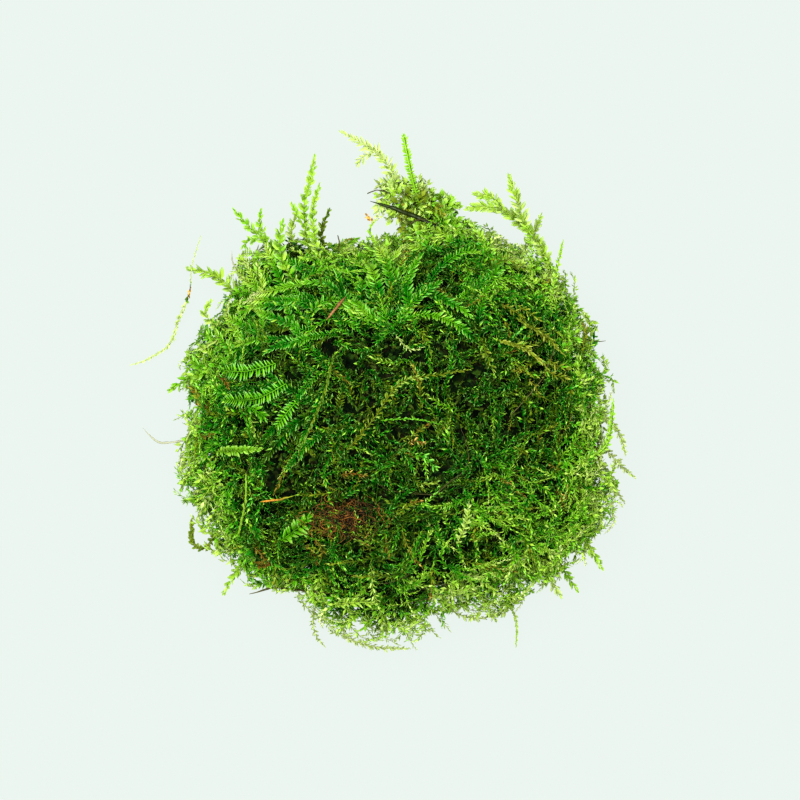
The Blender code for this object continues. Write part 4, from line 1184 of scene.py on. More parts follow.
# The pieces that are nodes of their own. Those that stand clear of the mat have paths with
# heights. Those that lie on it have flat paths.
STANDING = {
    "left_wire": bare(
        "pale_stem", 0.16, (-27.0, -7.0, 10.0), (-31.8, -7.6, 9.6), (-33.6, -7.4, 9.0),
        (-35.7, -5.4, 8.6)),
    "left_upper_sprig": shoot(
        0.74, 1.3, (-24.0, 3.8, 12.0), (-28.5, 2.1, 12.4), (-31.6, 0.3, 11.6)),
    "top_left_tip": shoot(0.86, 1.0, (-21.5, 8.0, 13.0), (-26.1, 11.3, 13.6), (-25.4, 13.6, 14.0)),
    "left_shoulder_shoot": shoot(
        0.84, 1.3, (-19.0, 12.4, 8.6), (-24.0, 17.0, 7.6), (-26.2, 18.0, 6.4),
        (-29.0, 18.7, 5.0), leaf=1.45),
    "far_left_strand": shoot(
        0.97, 0.6, (-27.0, 23.6, 6.2), (-28.4, 19.0, 6.4), (-28.8, 15.1, 4.2),
        (-30.6, 10.8, 1.8), (-32.0, 7.2, 1.0), (-35.4, 4.9, 1.0), (-37.8, 4.1, 1.2),
        bead=(-28.7, 15.4), angle=35.0, root_tint=0.98, root_share=0.34),
    "left_hair": bare(
        "pale_stem", 0.12, (-19.4, 15.2, 12.0), (-21.8, 18.8, 13.4), (-22.2, 21.2, 14.4)),
    "top_dark_stem": bare(
        "dark_stem", 0.32, (9.3, 24.2, 18.4), (5.6, 26.0, 17.8), (2.7, 27.2, 16.8),
        (-1.5, 28.5, 15.8)),
    "upper_left_sprig": shoot(
        0.77, 1.2, (-12.6, 17.0, 13.6), (-15.8, 21.4, 14.6), (-19.2, 24.2, 15.2),
        (-21.8, 27.2, 15.0),
        branches=[[(-16.8, 22.4, 14.8), (-18.0, 25.0, 15.2), (-17.8, 27.2, 15.0)],
                  [(-17.6, 23.0, 15.0), (-19.8, 22.6, 15.2), (-20.6, 21.6, 15.0)]]),
    "short_broad_shoot": shoot(
        0.77, 1.3, (-12.6, 16.0, 19.2), (-15.0, 21.0, 20.0), (-14.4, 25.5, 20.0)),
    "short_pale_shoot": shoot(
        0.89, 1.1, (-11.4, 19.0, 8.4), (-13.4, 23.4, 8.4), (-12.8, 26.6, 8.0)),
    "tall_sprig": shoot(
        0.81, 1.1, (-10.0, 18.5, 13.0), (-11.1, 23.5, 14.0), (-11.4, 28.1, 15.5),
        (-10.4, 31.6, 16.0), (-9.8, 35.2, 15.6),
        branches=[[(-11.2, 24.6, 14.3), (-12.4, 26.4, 14.8), (-13.2, 28.2, 14.8)]]),
    "second_tall_sprig": shoot(
        0.81, 1.0, (-8.4, 17.5, 18.0), (-9.8, 23.0, 18.6), (-10.0, 27.1, 18.8),
        (-9.0, 31.0, 18.6)),
    "third_tall_sprig": shoot(
        0.29, 0.9, (-7.4, 18.5, 9.6), (-8.9, 23.4, 10.4), (-7.6, 27.4, 10.6)),
    "orange_bud_sprig": shoot(
        0.8, 0.55, (2.0, 18.5, 16.0), (-1.4, 23.4, 17.4), (-0.8, 25.6, 17.6),
        buds=[[(-1.0, 25.2, 17.6), (-1.6, 26.0, 17.7), (-2.0, 26.4, 17.6)],
              [(-0.9, 25.4, 17.6), (-0.4, 26.2, 17.8), (0.2, 26.2, 17.7)]]),
    "pale_top_frond": shoot(
        0.95, 1.0, (5.4, 25.0, 12.0), (2.5, 31.4, 14.0), (0.1, 35.3, 14.6), (-3.0, 37.4, 14.0),
        (-5.8, 39.0, 13.0), leaf=1.6, width=0.46, spacing=0.17, finish="soft_leaf",
        branches=[[(-0.6, 35.9, 14.5), (-2.4, 35.2, 14.8), (-3.4, 34.0, 14.8)]]),
    "upright_top_shoot": shoot(
        0.76, 0.7, (6.4, 26.4, 15.5), (4.9, 31.4, 17.6), (4.0, 35.6, 18.2), (3.5, 38.2, 18.2),
        blunt=1.2, angle=74.0, stem=0.24, leaf=0.95, width=0.3, spacing=0.2, flatness=1.0),
    "top_arc_shoot": shoot(0.81, 1.0, (16.6, 17.4, 18.4), (15.6, 22.1, 20.2), (13.4, 25.3, 20.4)),
    "arching_shoot": shoot(
        0.86, 1.0, (26.4, 16.0, 12.0), (23.6, 22.4, 13.8), (19.4, 26.6, 15.0),
        (16.0, 27.6, 15.4), (13.4, 27.4, 15.2), leaf=1.6, width=0.6, spacing=0.16, blunt=0.7,
        stem=0.2, branches=[[(18.6, 27.0, 15.2), (16.8, 29.0, 15.8), (14.4, 29.6, 15.8)]]),
    "upright_right_frond": shoot(
        0.88, 1.5, (22.0, 15.0, 17.6), (22.6, 21.6, 18.8), (20.8, 27.2, 19.2),
        (19.3, 32.0, 19.0), leaf=1.1, width=0.5, root_tint=0.78, root_share=0.5, spacing=0.17,
        angle=60.0, blunt=0.3),
    "right_shoulder_sprig": shoot(
        0.89, 1.1, (20.0, 18.0, 8.6), (22.6, 23.0, 9.6), (24.2, 26.6, 9.8)),
    "right_shoulder_stem": shoot(
        0.8, 0.6, (25.0, 11.0, 17.0), (26.2, 17.4, 18.0), (27.3, 22.5, 18.4)),
    "right_shoot": shoot(
        0.78, 1.1, (29.0, -11.0, 17.0), (33.4, -8.4, 18.0), (34.4, -5.0, 18.2),
        (34.8, -1.2, 18.0), leaf=0.85, width=0.4, spacing=0.14, stem=0.24),
    "right_strand": shoot(
        0.94, 0.8, (30.0, -0.5, 13.0), (34.4, -4.4, 13.4), (36.2, -7.0, 13.0), (36.8, -9.4, 12.4)),
    "right_low_strand": shoot(
        0.97, 0.85, (30.0, -5.6, 9.6), (34.0, -8.7, 9.0), (36.8, -11.6, 7.8), (38.4, -12.9, 7.0)),
    "right_drop_strand": shoot(
        0.95, 0.7, (30.4, -8.4, 5.6), (34.0, -11.4, 4.8), (35.6, -14.6, 3.4), (37.0, -16.8, 2.4)),
    "lower_right_sprig_1": shoot(
        0.83, 1.1, (26.6, -18.6, 13.0), (31.0, -22.8, 12.4), (33.4, -26.6, 11.0)),
    "lower_right_sprig_2": shoot(
        0.79, 1.1, (24.0, -21.6, 8.6), (27.4, -26.6, 7.6), (29.8, -30.0, 6.2)),
    "lower_right_sprig_3": shoot(
        0.92, 1.1, (20.6, -24.0, 11.0), (25.0, -27.6, 10.4), (27.2, -30.8, 9.0)),
    "lower_right_stem": shoot(
        0.86, 0.45, (15.0, -26.5, 8.4), (18.6, -30.8, 7.0), (20.5, -34.4, 4.0),
        (20.6, -38.6, 1.2), angle=24.0, leaf=1.6),
    "lower_right_arc": shoot(
        0.95, 0.7, (7.6, -28.0, 9.0), (10.4, -32.6, 8.0), (14.6, -34.2, 6.4), (18.0, -33.4, 5.0)),
    "bottom_arc": shoot(
        0.97, 0.75, (-5.6, -32.0, 5.4), (-5.4, -36.6, 4.0), (-0.8, -38.6, 2.6), (4.4, -38.9, 1.4)),
    "bottom_left_strand": shoot(
        0.95, 0.65, (-8.0, -27.4, 8.0), (-10.0, -33.4, 5.8), (-9.8, -36.6, 3.4),
        (-8.4, -38.6, 1.4)),
    "lower_left_sprig": shoot(
        0.83, 1.1, (-17.4, -22.0, 9.0), (-21.6, -27.0, 8.4), (-23.6, -30.4, 7.0)),
    "left_curl": shoot(
        0.27, 0.6, (-21.0, -17.2, 9.6), (-24.8, -21.6, 9.4), (-26.4, -23.6, 9.0),
        (-28.2, -22.6, 8.6), (-28.4, -19.4, 8.2), finish="soft_leaf", blunt=0.9, leaf=1.1,
        width=0.42, spacing=0.14, angle=60.0, stem=0.2),
}
LYING = {
    "comb_frond_1": shoot(0.66, 1.4, (-15.4, 4.2), (-20.0, 3.0), (-24.6, 3.4), **COMB),
    "comb_frond_2": shoot(0.66, 1.3, (-13.8, 1.2), (-18.2, -1.0), (-24.4, -1.2), **COMB),
    "comb_frond_3": shoot(0.66, 1.2, (-12.4, -1.6), (-14.0, -3.4), (-15.4, -5.4), **COMB),
    "arched_pale_shoot": shoot(0.74, 1.0, (-24.4, -8.9), (-20.4, -8.6), (-16.8, -8.4)),
    "middle_light_shoot": shoot(
        0.64, 0.35, (0.2, -4.2), (5.0, -4.0), (10.0, -5.0), angle=24.0, leaf=1.7, width=0.22,
        spacing=0.2),
    "bright_sprig": shoot(
        0.66, 1.4, (-14.6, -22.0), (-12.0, -20.0), (-10.0, -18.0), width=0.5, spacing=0.16,
        angle=66.0),
    "pale_yellow_tuft": shoot(
        0.88, 1.2, (11.4, -22.4), (12.8, -19.2), (13.2, -15.8), width=0.36, leaf=0.85,
        spacing=0.16, angle=60.0),
    "brown_twig": bare(
        "twig", 0.22, (-5.0, 14.1), (-6.6, 12.1), (-8.2, 10.3), slot="rhizoids_and_twig"),
    "orange_straw": bare(
        "straw", 0.18, (-17.7, -16.2), (-15.0, -15.9), (-12.0, -15.1), slot="dry_straw"),
    "olive_stem": shoot(
        0.3, 0.5, (-6.8, 5.5), (-8.0, 0.3), (-10.0, -4.8), (-12.6, -10.2), angle=20.0, leaf=1.6),
    "light_stem": shoot(
        0.79, 0.36, (-21.0, -21.0), (-19.9, -16.0), (-19.8, -11.4), finish="fresh_leaf",
        angle=16.0, leaf=2.4, width=0.3, spacing=0.22, stem=0.26),
    "yellow_brown_stem_1": shoot(
        0.24, 0.6, (20.2, 11.0), (24.4, 8.2), (28.2, 4.8), finish="tan_leaf", angle=30.0,
        leaf=1.4),
    "yellow_brown_stem_2": shoot(
        0.22, 0.6, (17.6, 7.6), (22.0, 6.0), (25.6, 2.6), finish="tan_leaf", angle=30.0, leaf=1.4),
}


# Old stems that show in the photograph: half thickness, then the path.
SHOWN_STEM_POINTS = 16
SHOWN_STEMS = (
    (0.13, [(2.7, 24.3, 17.2), (5.7, 25.6, 18.4), (7.5, 25.5, 19.0)]),
    (0.09, [(-1.8, 29.7, 16.4), (-0.3, 30.2, 16.8), (1.6, 29.6, 16.8)]),
    (0.08, [(30.4, 7.9, 13.6), (32.2, 7.7, 14.0), (33.8, 7.6, 14.0)]),
    (0.07, [(-6.2, 23.4, 15.0), (-6.0, 21.6, 16.0), (-6.4, 19.8, 17.0)]),
)

# Shoots and scraps that show on the mat in the photograph: tint, leaf length and path.
SHOWN_SHOOTS = (
    (0.97, 0.8, [(0.6, 21.6), (1.8, 20.6), (3.2, 20.2)]),
    (0.93, 0.6, [(2.4, 8.4), (4.4, 6.2), (6.6, 6.6)]),
    (0.85, 1.3, [(-6.8, -31.6), (-3.6, -31.2), (-0.6, -31.4)]),
    (0.86, 1.0, [(-1.2, -25.6), (-1.0, -29.6), (0.2, -33.0)]),
    (0.62, 1.4, [(-19.6, -2.2), (-18.2, -2.8), (-16.8, -4.0)]),
    (0.61, 1.1, [(5.2, -9.2), (6.8, -9.8), (8.4, -11.4)]),
    (0.62, 1.1, [(15.0, -10.4), (17.4, -10.8), (19.8, -12.0)]),
    (0.78, 1.0, [(16.2, -18.6), (18.6, -19.0), (20.8, -18.4)]),
    (0.84, 1.2, [(31.0, 5.6), (31.6, 8.4), (31.0, 11.4)]),
    (0.24, 0.9, [(-4.8, -8.6), (-0.6, -3.6), (3.2, 1.4), (9.2, 2.6), (13.6, 3.4)]),
    (0.08, 0.8, [(4.2, -7.6), (5.4, -7.2), (6.6, -7.6)]),
    (0.08, 0.9, [(-5.6, -12.2), (-3.8, -12.0), (-2.0, -12.4)]),
    (0.10, 0.9, [(-18.6, -23.2), (-17.4, -24.4), (-16.4, -26.0)]),
    (0.10, 0.9, [(-10.8, -22.6), (-9.8, -24.0), (-9.2, -25.6)]),
    (0.20, 0.9, [(18.0, 13.0), (20.4, 11.6), (22.0, 9.6)]),
    (0.08, 0.7, [(17.8, -12.8), (18.6, -13.4), (19.4, -13.2)]),
    (0.08, 0.7, [(26.2, -14.4), (26.8, -15.2), (27.0, -16.2)]),
    (0.10, 0.9, [(-19.2, -25.0), (-17.8, -25.8), (-16.0, -25.4)]),
    (0.12, 0.9, [(-9.6, -21.8), (-8.4, -23.4), (-8.8, -25.0)]),
    (0.08, 0.8, [(-24.0, 2.6), (-23.0, 1.6), (-22.4, 0.4)]),
    (0.10, 0.7, [(-27.6, -1.6), (-26.6, -1.8), (-25.6, -2.4)]),
    (0.12, 0.7, [(-27.2, -6.4), (-25.8, -6.6), (-24.6, -6.2)]),
)
TAN_SHOOTS = (
    (0.20, 1.1, [(25.0, 4.8), (26.4, 3.8), (28.4, 3.4)]),
    (0.22, 1.2, [(24.4, 3.2), (26.2, 2.4), (28.2, 2.0)]),
    (0.24, 1.1, [(22.2, 9.8), (24.4, 8.6), (26.2, 6.6)]),
    (0.22, 1.0, [(20.6, 12.6), (22.0, 11.8), (23.8, 10.6)]),
    (0.24, 1.0, [(19.2, 7.2), (21.4, 6.8), (23.4, 7.2)]),
    (0.18, 0.9, [(22.0, 1.8), (23.0, 0.8), (23.6, -0.6)]),
    (0.28, 1.0, [(15.2, 7.0), (16.0, 4.8), (16.8, 3.0)]),
    (0.26, 1.0, [(25.6, 9.4), (27.2, 8.0), (28.0, 6.0)]),
)
SHOWN_LIFT = 2.6

# The left, right and bottom edge of the gap that the upper left's sprigs stand in.
SPRIG_GAP = (-20.0, -6.5, 22.6)

# Where the matted rhizoids lie, how far they spread each way, and how much of the way back to
# their middle each step turns them.
RHIZOID_MIDDLE = np.array((-5.4, -18.8))
RHIZOID_SPREAD = np.array((3.0, 1.05))
RHIZOID_PULL = (0.04, 0.07)
RHIZOID_POINTS = 9

# Loose strands that hang off the bottom edge in the photograph.
FRINGE = (
    [(-9.0, -31.0, 5.0), (-8.0, -35.0, 3.4), (-4.4, -37.8, 2.2)],
    [(-3.0, -32.0, 5.0), (-1.0, -36.0, 3.0), (3.0, -38.4, 1.6)],
    [(0.0, -31.0, 5.0), (3.4, -35.6, 3.4), (5.4, -39.0, 2.0)],
    [(2.0, -31.0, 5.0), (6.0, -34.6, 3.4), (9.0, -37.2, 2.0)],
    [(5.0, -30.0, 6.0), (8.4, -33.6, 4.0), (10.6, -36.2, 2.4)],
    [(8.0, -29.0, 6.0), (12.6, -32.6, 5.0), (16.6, -33.2, 3.6)],
    [(11.0, -29.0, 6.0), (14.0, -31.6, 5.0), (17.6, -31.8, 3.6)],
    [(-13.0, -28.0, 6.0), (-11.6, -32.0, 4.4), (-8.4, -34.6, 3.0)],
    [(-6.0, -33.0, 5.0), (-3.0, -37.0, 3.4), (0.4, -37.6, 2.4)],
)

# An old stem that lies across the bottom edge, and its places' heights above the mat.
LYING_STEM = bare("old_stem", 0.15, (-19.6, -30.4), (-15.8, -29.4), (-11.0, -29.8), (-6.0, -30.0))
LYING_STEM_LIFTS = (0.0, 1.6, 2.0, 1.0)


# The stage, in metres: the table, the light from above, and what the camera sees of the mat.
TABLE_RADIUS = 4.0
TABLE_GLOW = 0.985
ROOM_LIGHT = 0.12
LAMP_SIZE = 1.3
LAMP_POWER = 55.0
LAMP_PLACE = (-0.14, 0.12, 1.5)
FIELD = 0.120
FIELD_MIDDLE = (0.003, -0.0012)
FIELD_HEIGHT = 0.012


# Pieces for the part's nodes.

# The record's slots for leaves below each tint.
TINT_SLOTS = ((0.2, "dry_straw"), (0.5, "olive_shoots"), (0.78, "bright_shoots"))


def slot_for(tint):
    return next((slot for limit, slot in TINT_SLOTS if tint < limit), "pale_shoots")


def leafy_piece(name, row, path, seed):
    """One shoot and its side shoots, with fuller leaves than the mat's."""
    lines = Lines()
    part = np.linspace(0.0, 1.0, LINE_POINTS)
    for number_of, points in enumerate([path, *row["branches"]]):
        line = smooth_line(points, LINE_POINTS)
        tints = np.full(LINE_POINTS, row["tint"])
        sizes = (BRANCH_SIZE if number_of else 1.0) * (1.0 + row["blunt"] * part**3)
        at_root = part < row["root_share"]
        tints[at_root] = row.get("root_tint")
        sizes[at_root] *= ROOT_SIZE
        if "bead" in row:
            away = np.linalg.norm(line[:, :2] - row["bead"], axis=1)
            tints[away < BEAD_REACH] = WITHERED_TINT
        lines.add(line[None], UP, tints, sizes)
    for tint, points in zip((WITHERED_TINT, PALE_TINT), row["buds"]):
        lines.add(smooth_line(points, LINE_POINTS)[None], UP, tint, 1.0)
    return grown(
        name, lines, LEAFY, row["finish"], leaf_length=row["half_width"] * row["leaf"] * MM,
        leaf_width=row["width"] * MM, leaf_spacing=row["spacing"] * MM,
        leaf_angle=math.radians(row["angle"]), flatness=row["flatness"],
        stem_radius=row["stem"] * MM, pale_share=0.0, leaf_curl=0.12, tint_spread=0.05,
        leaf_sides=4, leaf_rings=3, seed=seed,
    )


def bare_piece(name, row, path, seed):
    """One bare stem that tapers to both ends."""
    part = np.linspace(0.0, 1.0, LINE_POINTS)
    sizes = np.clip(0.3 + 3.0 * np.minimum(part, 1.0 - part), 0.0, 1.0)
    lines = Lines(smooth_line(path, LINE_POINTS)[None], UP, 0.5, sizes)
    return grown(
        name, lines, BARE, row["finish"], stem_radius=row["half_width"] * MM,
        segment_length=0.35 * MM, crook=0.35 * MM, sides=7, seed=seed,
    )


def add_node_piece(node, row, path, seed):
    """Grows the piece that stands for one of the part's nodes."""
    if "tint" in row:
        piece = leafy_piece(node + "_piece", row, path, seed)
        settled(piece, slot_for(row["tint"]), node)
    else:
        settled(bare_piece(node + "_piece", row, path, seed), row["slot"], node)


# Operators.


class MOSS_OT_add_tangle(bpy.types.Operator):
    """Add the dark, felted heart of the mat"""

    bl_idname = "moss.add_tangle"
    bl_label = "Inner Tangle"

    def execute(self, context):
        work = bmesh.new()
        for shape, subdivisions, inset in (
            (DOME, 6, 3.2), (Lobe(LOBE_CENTRE, LOBE_RADII), 4, 3.0),
        ):
            ball = bmesh.ops.create_icosphere(work, subdivisions=subdivisions, radius=1.0)["verts"]
            ways = unit(np.array([vertex.co[:] for vertex in ball]))
            places = shape.place(ways)
            felt = [noise.fractal(Vector(place) / FELT_SIZE, 1.0, 2.0, 4) for place in places]
            sunk = shape.swell(places) - inset + FELT_HEIGHT * np.array(felt)
            places = places + outward(shape, ways) * sunk[:, None]
            places[:, 2] = np.maximum(places[:, 2], TANGLE_BOTTOM)
            for vertex, place in zip(ball, places):
                vertex.co = place * MM
        bmesh.ops.recalc_face_normals(work, faces=work.faces)
        mesh = bpy.data.meshes.new("inner_tangle")
        work.to_mesh(mesh)
        work.free()
        mesh.materials.append(tangle_and_shade_material())
        mesh.shade_smooth()
        settled(new_object("inner_tangle", mesh), "dense_moss", "moss_mass")
        return {"FINISHED"}


class MOSS_OT_add_litter(bpy.types.Operator):
    """Add the old shoots that lie on the inner tangle, dark partly with age and partly as painted
    shade
    """

    bl_idname = "moss.add_litter"
    bl_label = "Old Shoots Inside"

    def execute(self, context):
        settings = context.scene.moss_litter
        chance = np.random.default_rng(settings.seed)
        count = settings.count
        ways = random_ways(chance, count, -0.2, 0.998)
        stands = chance.uniform(-2.6, -1.0, count)
        paths, outs = walk(
            chance, DOME, ways, any_turns(chance, count),
            settings.reach / MM * chance.uniform(0.6, 1.3, count), (stands, stands), 0.9, 0.3, 6,
        )
        lines = Lines(paths, outs, chance.choice(LITTER_TINTS, (count, 1)),
                      chance.uniform(0.8, 1.2, (count, 1)))
        settled(leafy("old_shoots_inside", lines, "old_leaf", settings), "dense_moss")
        return {"FINISHED"}


class MOSS_OT_add_feather_fronds(bpy.types.Operator):
    """Add the flat, feathery fronds over the crown and the upper left"""

    bl_idname = "moss.add_feather_fronds"
    bl_label = "Feather Fronds"

    def execute(self, context):
        settings = context.scene.moss_fronds
        chance = np.random.default_rng(settings.seed)
        laid = laid_paths()
        # The lower fronds' tints are lowered and the upper ones' raised, as painted shade under
        # the top layer.
        for name, count, heights, lift, rings in (
            ("lower_fronds", settings.under_count, (-1.0, 0.6), -0.07, 2),
            ("feather_fronds", settings.count, (0.9, 2.5), 0.07, 3),
        ):
            ways = random_ways(chance, count * 6, -0.15, 0.995)
            places = DOME.place(ways)
            liking = nearness(places, -11, 12, 17, 12) + 0.2 * nearness(places, 14, 15, 10, 8)
            liking *= np.clip(0.7 + tufting(places), 0.15, 1.2)
            liking[(places[:, 0] > MIDDLE_LEFT) & (places[:, 1] < MIDDLE_TOP)] = 0.0
            ways = liked(chance, ways, liking, count)
            count = len(ways)
            stands = chance.uniform(*heights, count) + tufting(DOME.place(ways))
            paths, outs = walk(
                chance, DOME, ways, chance.normal(0.1, 0.9, count),
                settings.reach / MM * chance.uniform(0.7, 1.2, count), (stands - 3.0, stands),
                0.5, 0.08, 9,
            )
            own = clear_of_shade(tint_at(paths) + (lift + chance.normal(0.0, 0.05, (count, 1))))
            sizes = chance.uniform(0.8, 1.2, (count, 1))
            lines = Lines(pressed_under(paths, laid), outs, graded(own, paths, 0.5), sizes,
                          clear_of_sprigs(paths))
            fronds = leafy(name, lines, "fresh_leaf", settings, leaf_curl=0.05, leaf_rings=rings,
                           tint_spread=0.03)
            settled(fronds, "bright_shoots")
        return {"FINISHED"}


class MOSS_OT_add_fine_shoots(bpy.types.Operator):
    """Add the fine, spiky shoots of the middle and the lower half"""

    bl_idname = "moss.add_fine_shoots"
    bl_label = "Fine Shoots"

    def execute(self, context):
        settings = context.scene.moss_fine
        chance = np.random.default_rng(settings.seed)
        ways = random_ways(chance, settings.count * 5, -0.1, 0.998)
        places = DOME.place(ways)
        liking = 1.0 - 0.85 * nearness(places, -12, 12, 16, 14)
        liking *= np.clip(0.60 + 1.7 * tufting(places), 0.06, 1.3)
        ways = liked(chance, ways, liking, settings.count)
        count = len(ways)
        lengths = settings.reach / MM * chance.uniform(0.6, 1.35, count)
        stands = chance.uniform(-1.2, 2.4, count) + 2.2 * tufting(DOME.place(ways))
        paths, outs = walk(
            chance, DOME, ways, any_turns(chance, count), lengths,
            (stands - chance.uniform(2.0, 5.0, count), stands), 0.8, 0.3, 8,
        )
        # Shoots that stand higher are painted lighter and lower ones darker, as painted shade of
        # depth, with random tone on top.
        lift = 0.04 * (stands - stands.mean()) + chance.normal(0.0, 0.09, count)
        own = clear_of_shade(tint_at(paths) + lift[:, None])
        turned = (chance.uniform(0, 1, count) < settings.turned_share) & (own.mean(1) < 0.72)
        own = np.where(turned[:, None], np.clip(2 * SHADED_TINT - own, 0.20, 0.66), own)
        odd = chance.uniform(0, 1, (count, 1))
        own = np.where(odd < BROWN_SHARE, BROWN_TINT, own)
        green = own.mean(1, keepdims=True) > 0.5
        own = np.where((odd > 1.0 - LIGHT_SHARE) & green, LIGHT_TINT, own)
        tints = graded(own, paths, 0.8)
        paths = pressed_under(paths, laid_paths())
        sizes = chance.uniform(0.65, 1.3, (count, 1))
        height = paths[:, 4, 1] - MAT_CENTRE[1]
        top, bottom = height > FINE_TOP, height < FINE_BOTTOM
        keep = left_at_bottom(paths, chance, context.scene.moss_edge.bottom_share)
        keep &= clear_of_sprigs(paths)
        for name, here in (
            ("fine_shoots_top", top), ("fine_shoots_middle", ~(top | bottom)),
            ("fine_shoots_bottom", bottom),
        ):
            lines = Lines(paths, outs, tints, sizes, here & keep)
            piece = leafy(name, lines, "old_leaf", settings, tint_spread=0.08,
                          pale_share=settings.pale_share)
            settled(piece, "olive_shoots")
        return {"FINISHED"}


class MOSS_OT_add_edge_shoots(bpy.types.Operator):
    """Add the pale shoots that stand out round the mat's edge and flanks"""

    bl_idname = "moss.add_edge_shoots"
    bl_label = "Edge Shoots"

    def execute(self, context):
        settings = context.scene.moss_edge
        chance = np.random.default_rng(settings.seed)
        for name, count, zone, turns, depth, reach, wide, rise in (
            ("flank_shoots", settings.count, (-0.72, 0.5), 1.5, 4.0, 1.0, 1.0, 2.4),
            ("rim_shoots", settings.rim_count, (-0.32, 0.42), 0.9, 2.6, 0.7, 1.15, 2.8),
            ("loose_strands", settings.loose_count, (-0.34, 0.30), 0.7, 4.6, 1.25, 0.75, 3.6),
        ):
            ways = random_ways(chance, count, *zone)
            lengths = reach * settings.reach / MM * chance.uniform(0.6, 1.3, count)
            stands = chance.uniform(-0.4, rise, count)
            paths, outs = walk(
                chance, DOME, ways, chance.normal(0.0, turns, count), lengths,
                (stands - depth, stands), 0.6, 0.2, 8,
            )
            own = clear_of_shade(tint_at(paths) + chance.normal(0.04, 0.06, (count, 1)))
            tints = graded(np.minimum(own, BRIGHTEST_EDGE), paths, 0.35)
            sizes = chance.uniform(0.8, 1.2, (count, 1))
            keep = left_at_bottom(paths, chance, settings.bottom_share) | (name == "loose_strands")
            lines = Lines(paths, outs, tints, sizes, keep & clear_of_sprigs(paths))
            if name == "loose_strands":
                hanging = np.stack([smooth_line(points, LINE_POINTS) for points in FRINGE])
                lines.add(hanging, UP, BRIGHTEST_EDGE, 0.9)
            piece = leafy(name, lines, "edge_leaf", settings, leaf_curl=0.08,
                          leaf_width=wide * settings.leaf_width)
            settled(piece, "pale_shoots")
        return {"FINISHED"}


class MOSS_OT_add_top_lobe(bpy.types.Operator):
    """Add the shoots of the tuft that bulges from the top edge"""

    bl_idname = "moss.add_top_lobe"
    bl_label = "Top Tuft"

    def execute(self, context):
        settings = context.scene.moss_edge
        chance = np.random.default_rng(settings.seed + LOBE_SEED)
        row = STANDING["top_dark_stem"]
        dark_stem = [(smooth_line(row["path"], LINE_POINTS), row["half_width"] + 0.2)]
        lines = Lines()
        for centre, radii, count, lowest, highest in TOP_TUFTS:
            ways = random_ways(chance, count, -0.8, 0.98)
            lengths = 0.8 * radii[0] * chance.uniform(0.6, 1.2, count)
            paths, outs = walk(
                chance, Lobe(centre, radii), ways, chance.normal(0.0, 1.6, count), lengths,
                (np.full(count, -0.3 * radii[0]), chance.uniform(-0.3, 1.4, count)), 0.8, 0.3, 7,
            )
            own = chance.uniform(lowest, highest, (count, 1))
            lines.add(pressed_under(paths, dark_stem), outs, graded(own, paths, 0.3),
                      chance.uniform(0.75, 1.15, (count, 1)))
        tuft = leafy(
            "top_tuft", lines, "soft_leaf", settings, leaf_curl=0.08, leaf_spacing=0.35 * MM,
            leaf_width=1.8 * settings.leaf_width, leaf_length=1.3 * settings.leaf_length,
        )
        settled(tuft, "pale_shoots")
        return {"FINISHED"}


class MOSS_OT_add_underside(bpy.types.Operator):
    """Add the old shoots pressed flat under the mat"""

    bl_idname = "moss.add_underside"
    bl_label = "Underside"

    def execute(self, context):
        settings = context.scene.moss_under
        chance = np.random.default_rng(settings.seed)
        count = settings.count
        ways = random_ways(chance, count, -0.998, -0.62)
        paths, outs = walk(
            chance, DOME, ways, any_turns(chance, count),
            settings.reach / MM * chance.uniform(0.6, 1.3, count),
            (np.full(count, -1.2), chance.uniform(-0.7, -0.3, count)), 0.9, 0.3, 8,
        )
        lines = Lines(paths, outs, chance.normal(0.22, 0.1, (count, 1)),
                      chance.uniform(0.8, 1.2, (count, 1)))
        settled(leafy("pressed_underside", lines, "pressed_leaf", settings), "dense_moss")
        return {"FINISHED"}


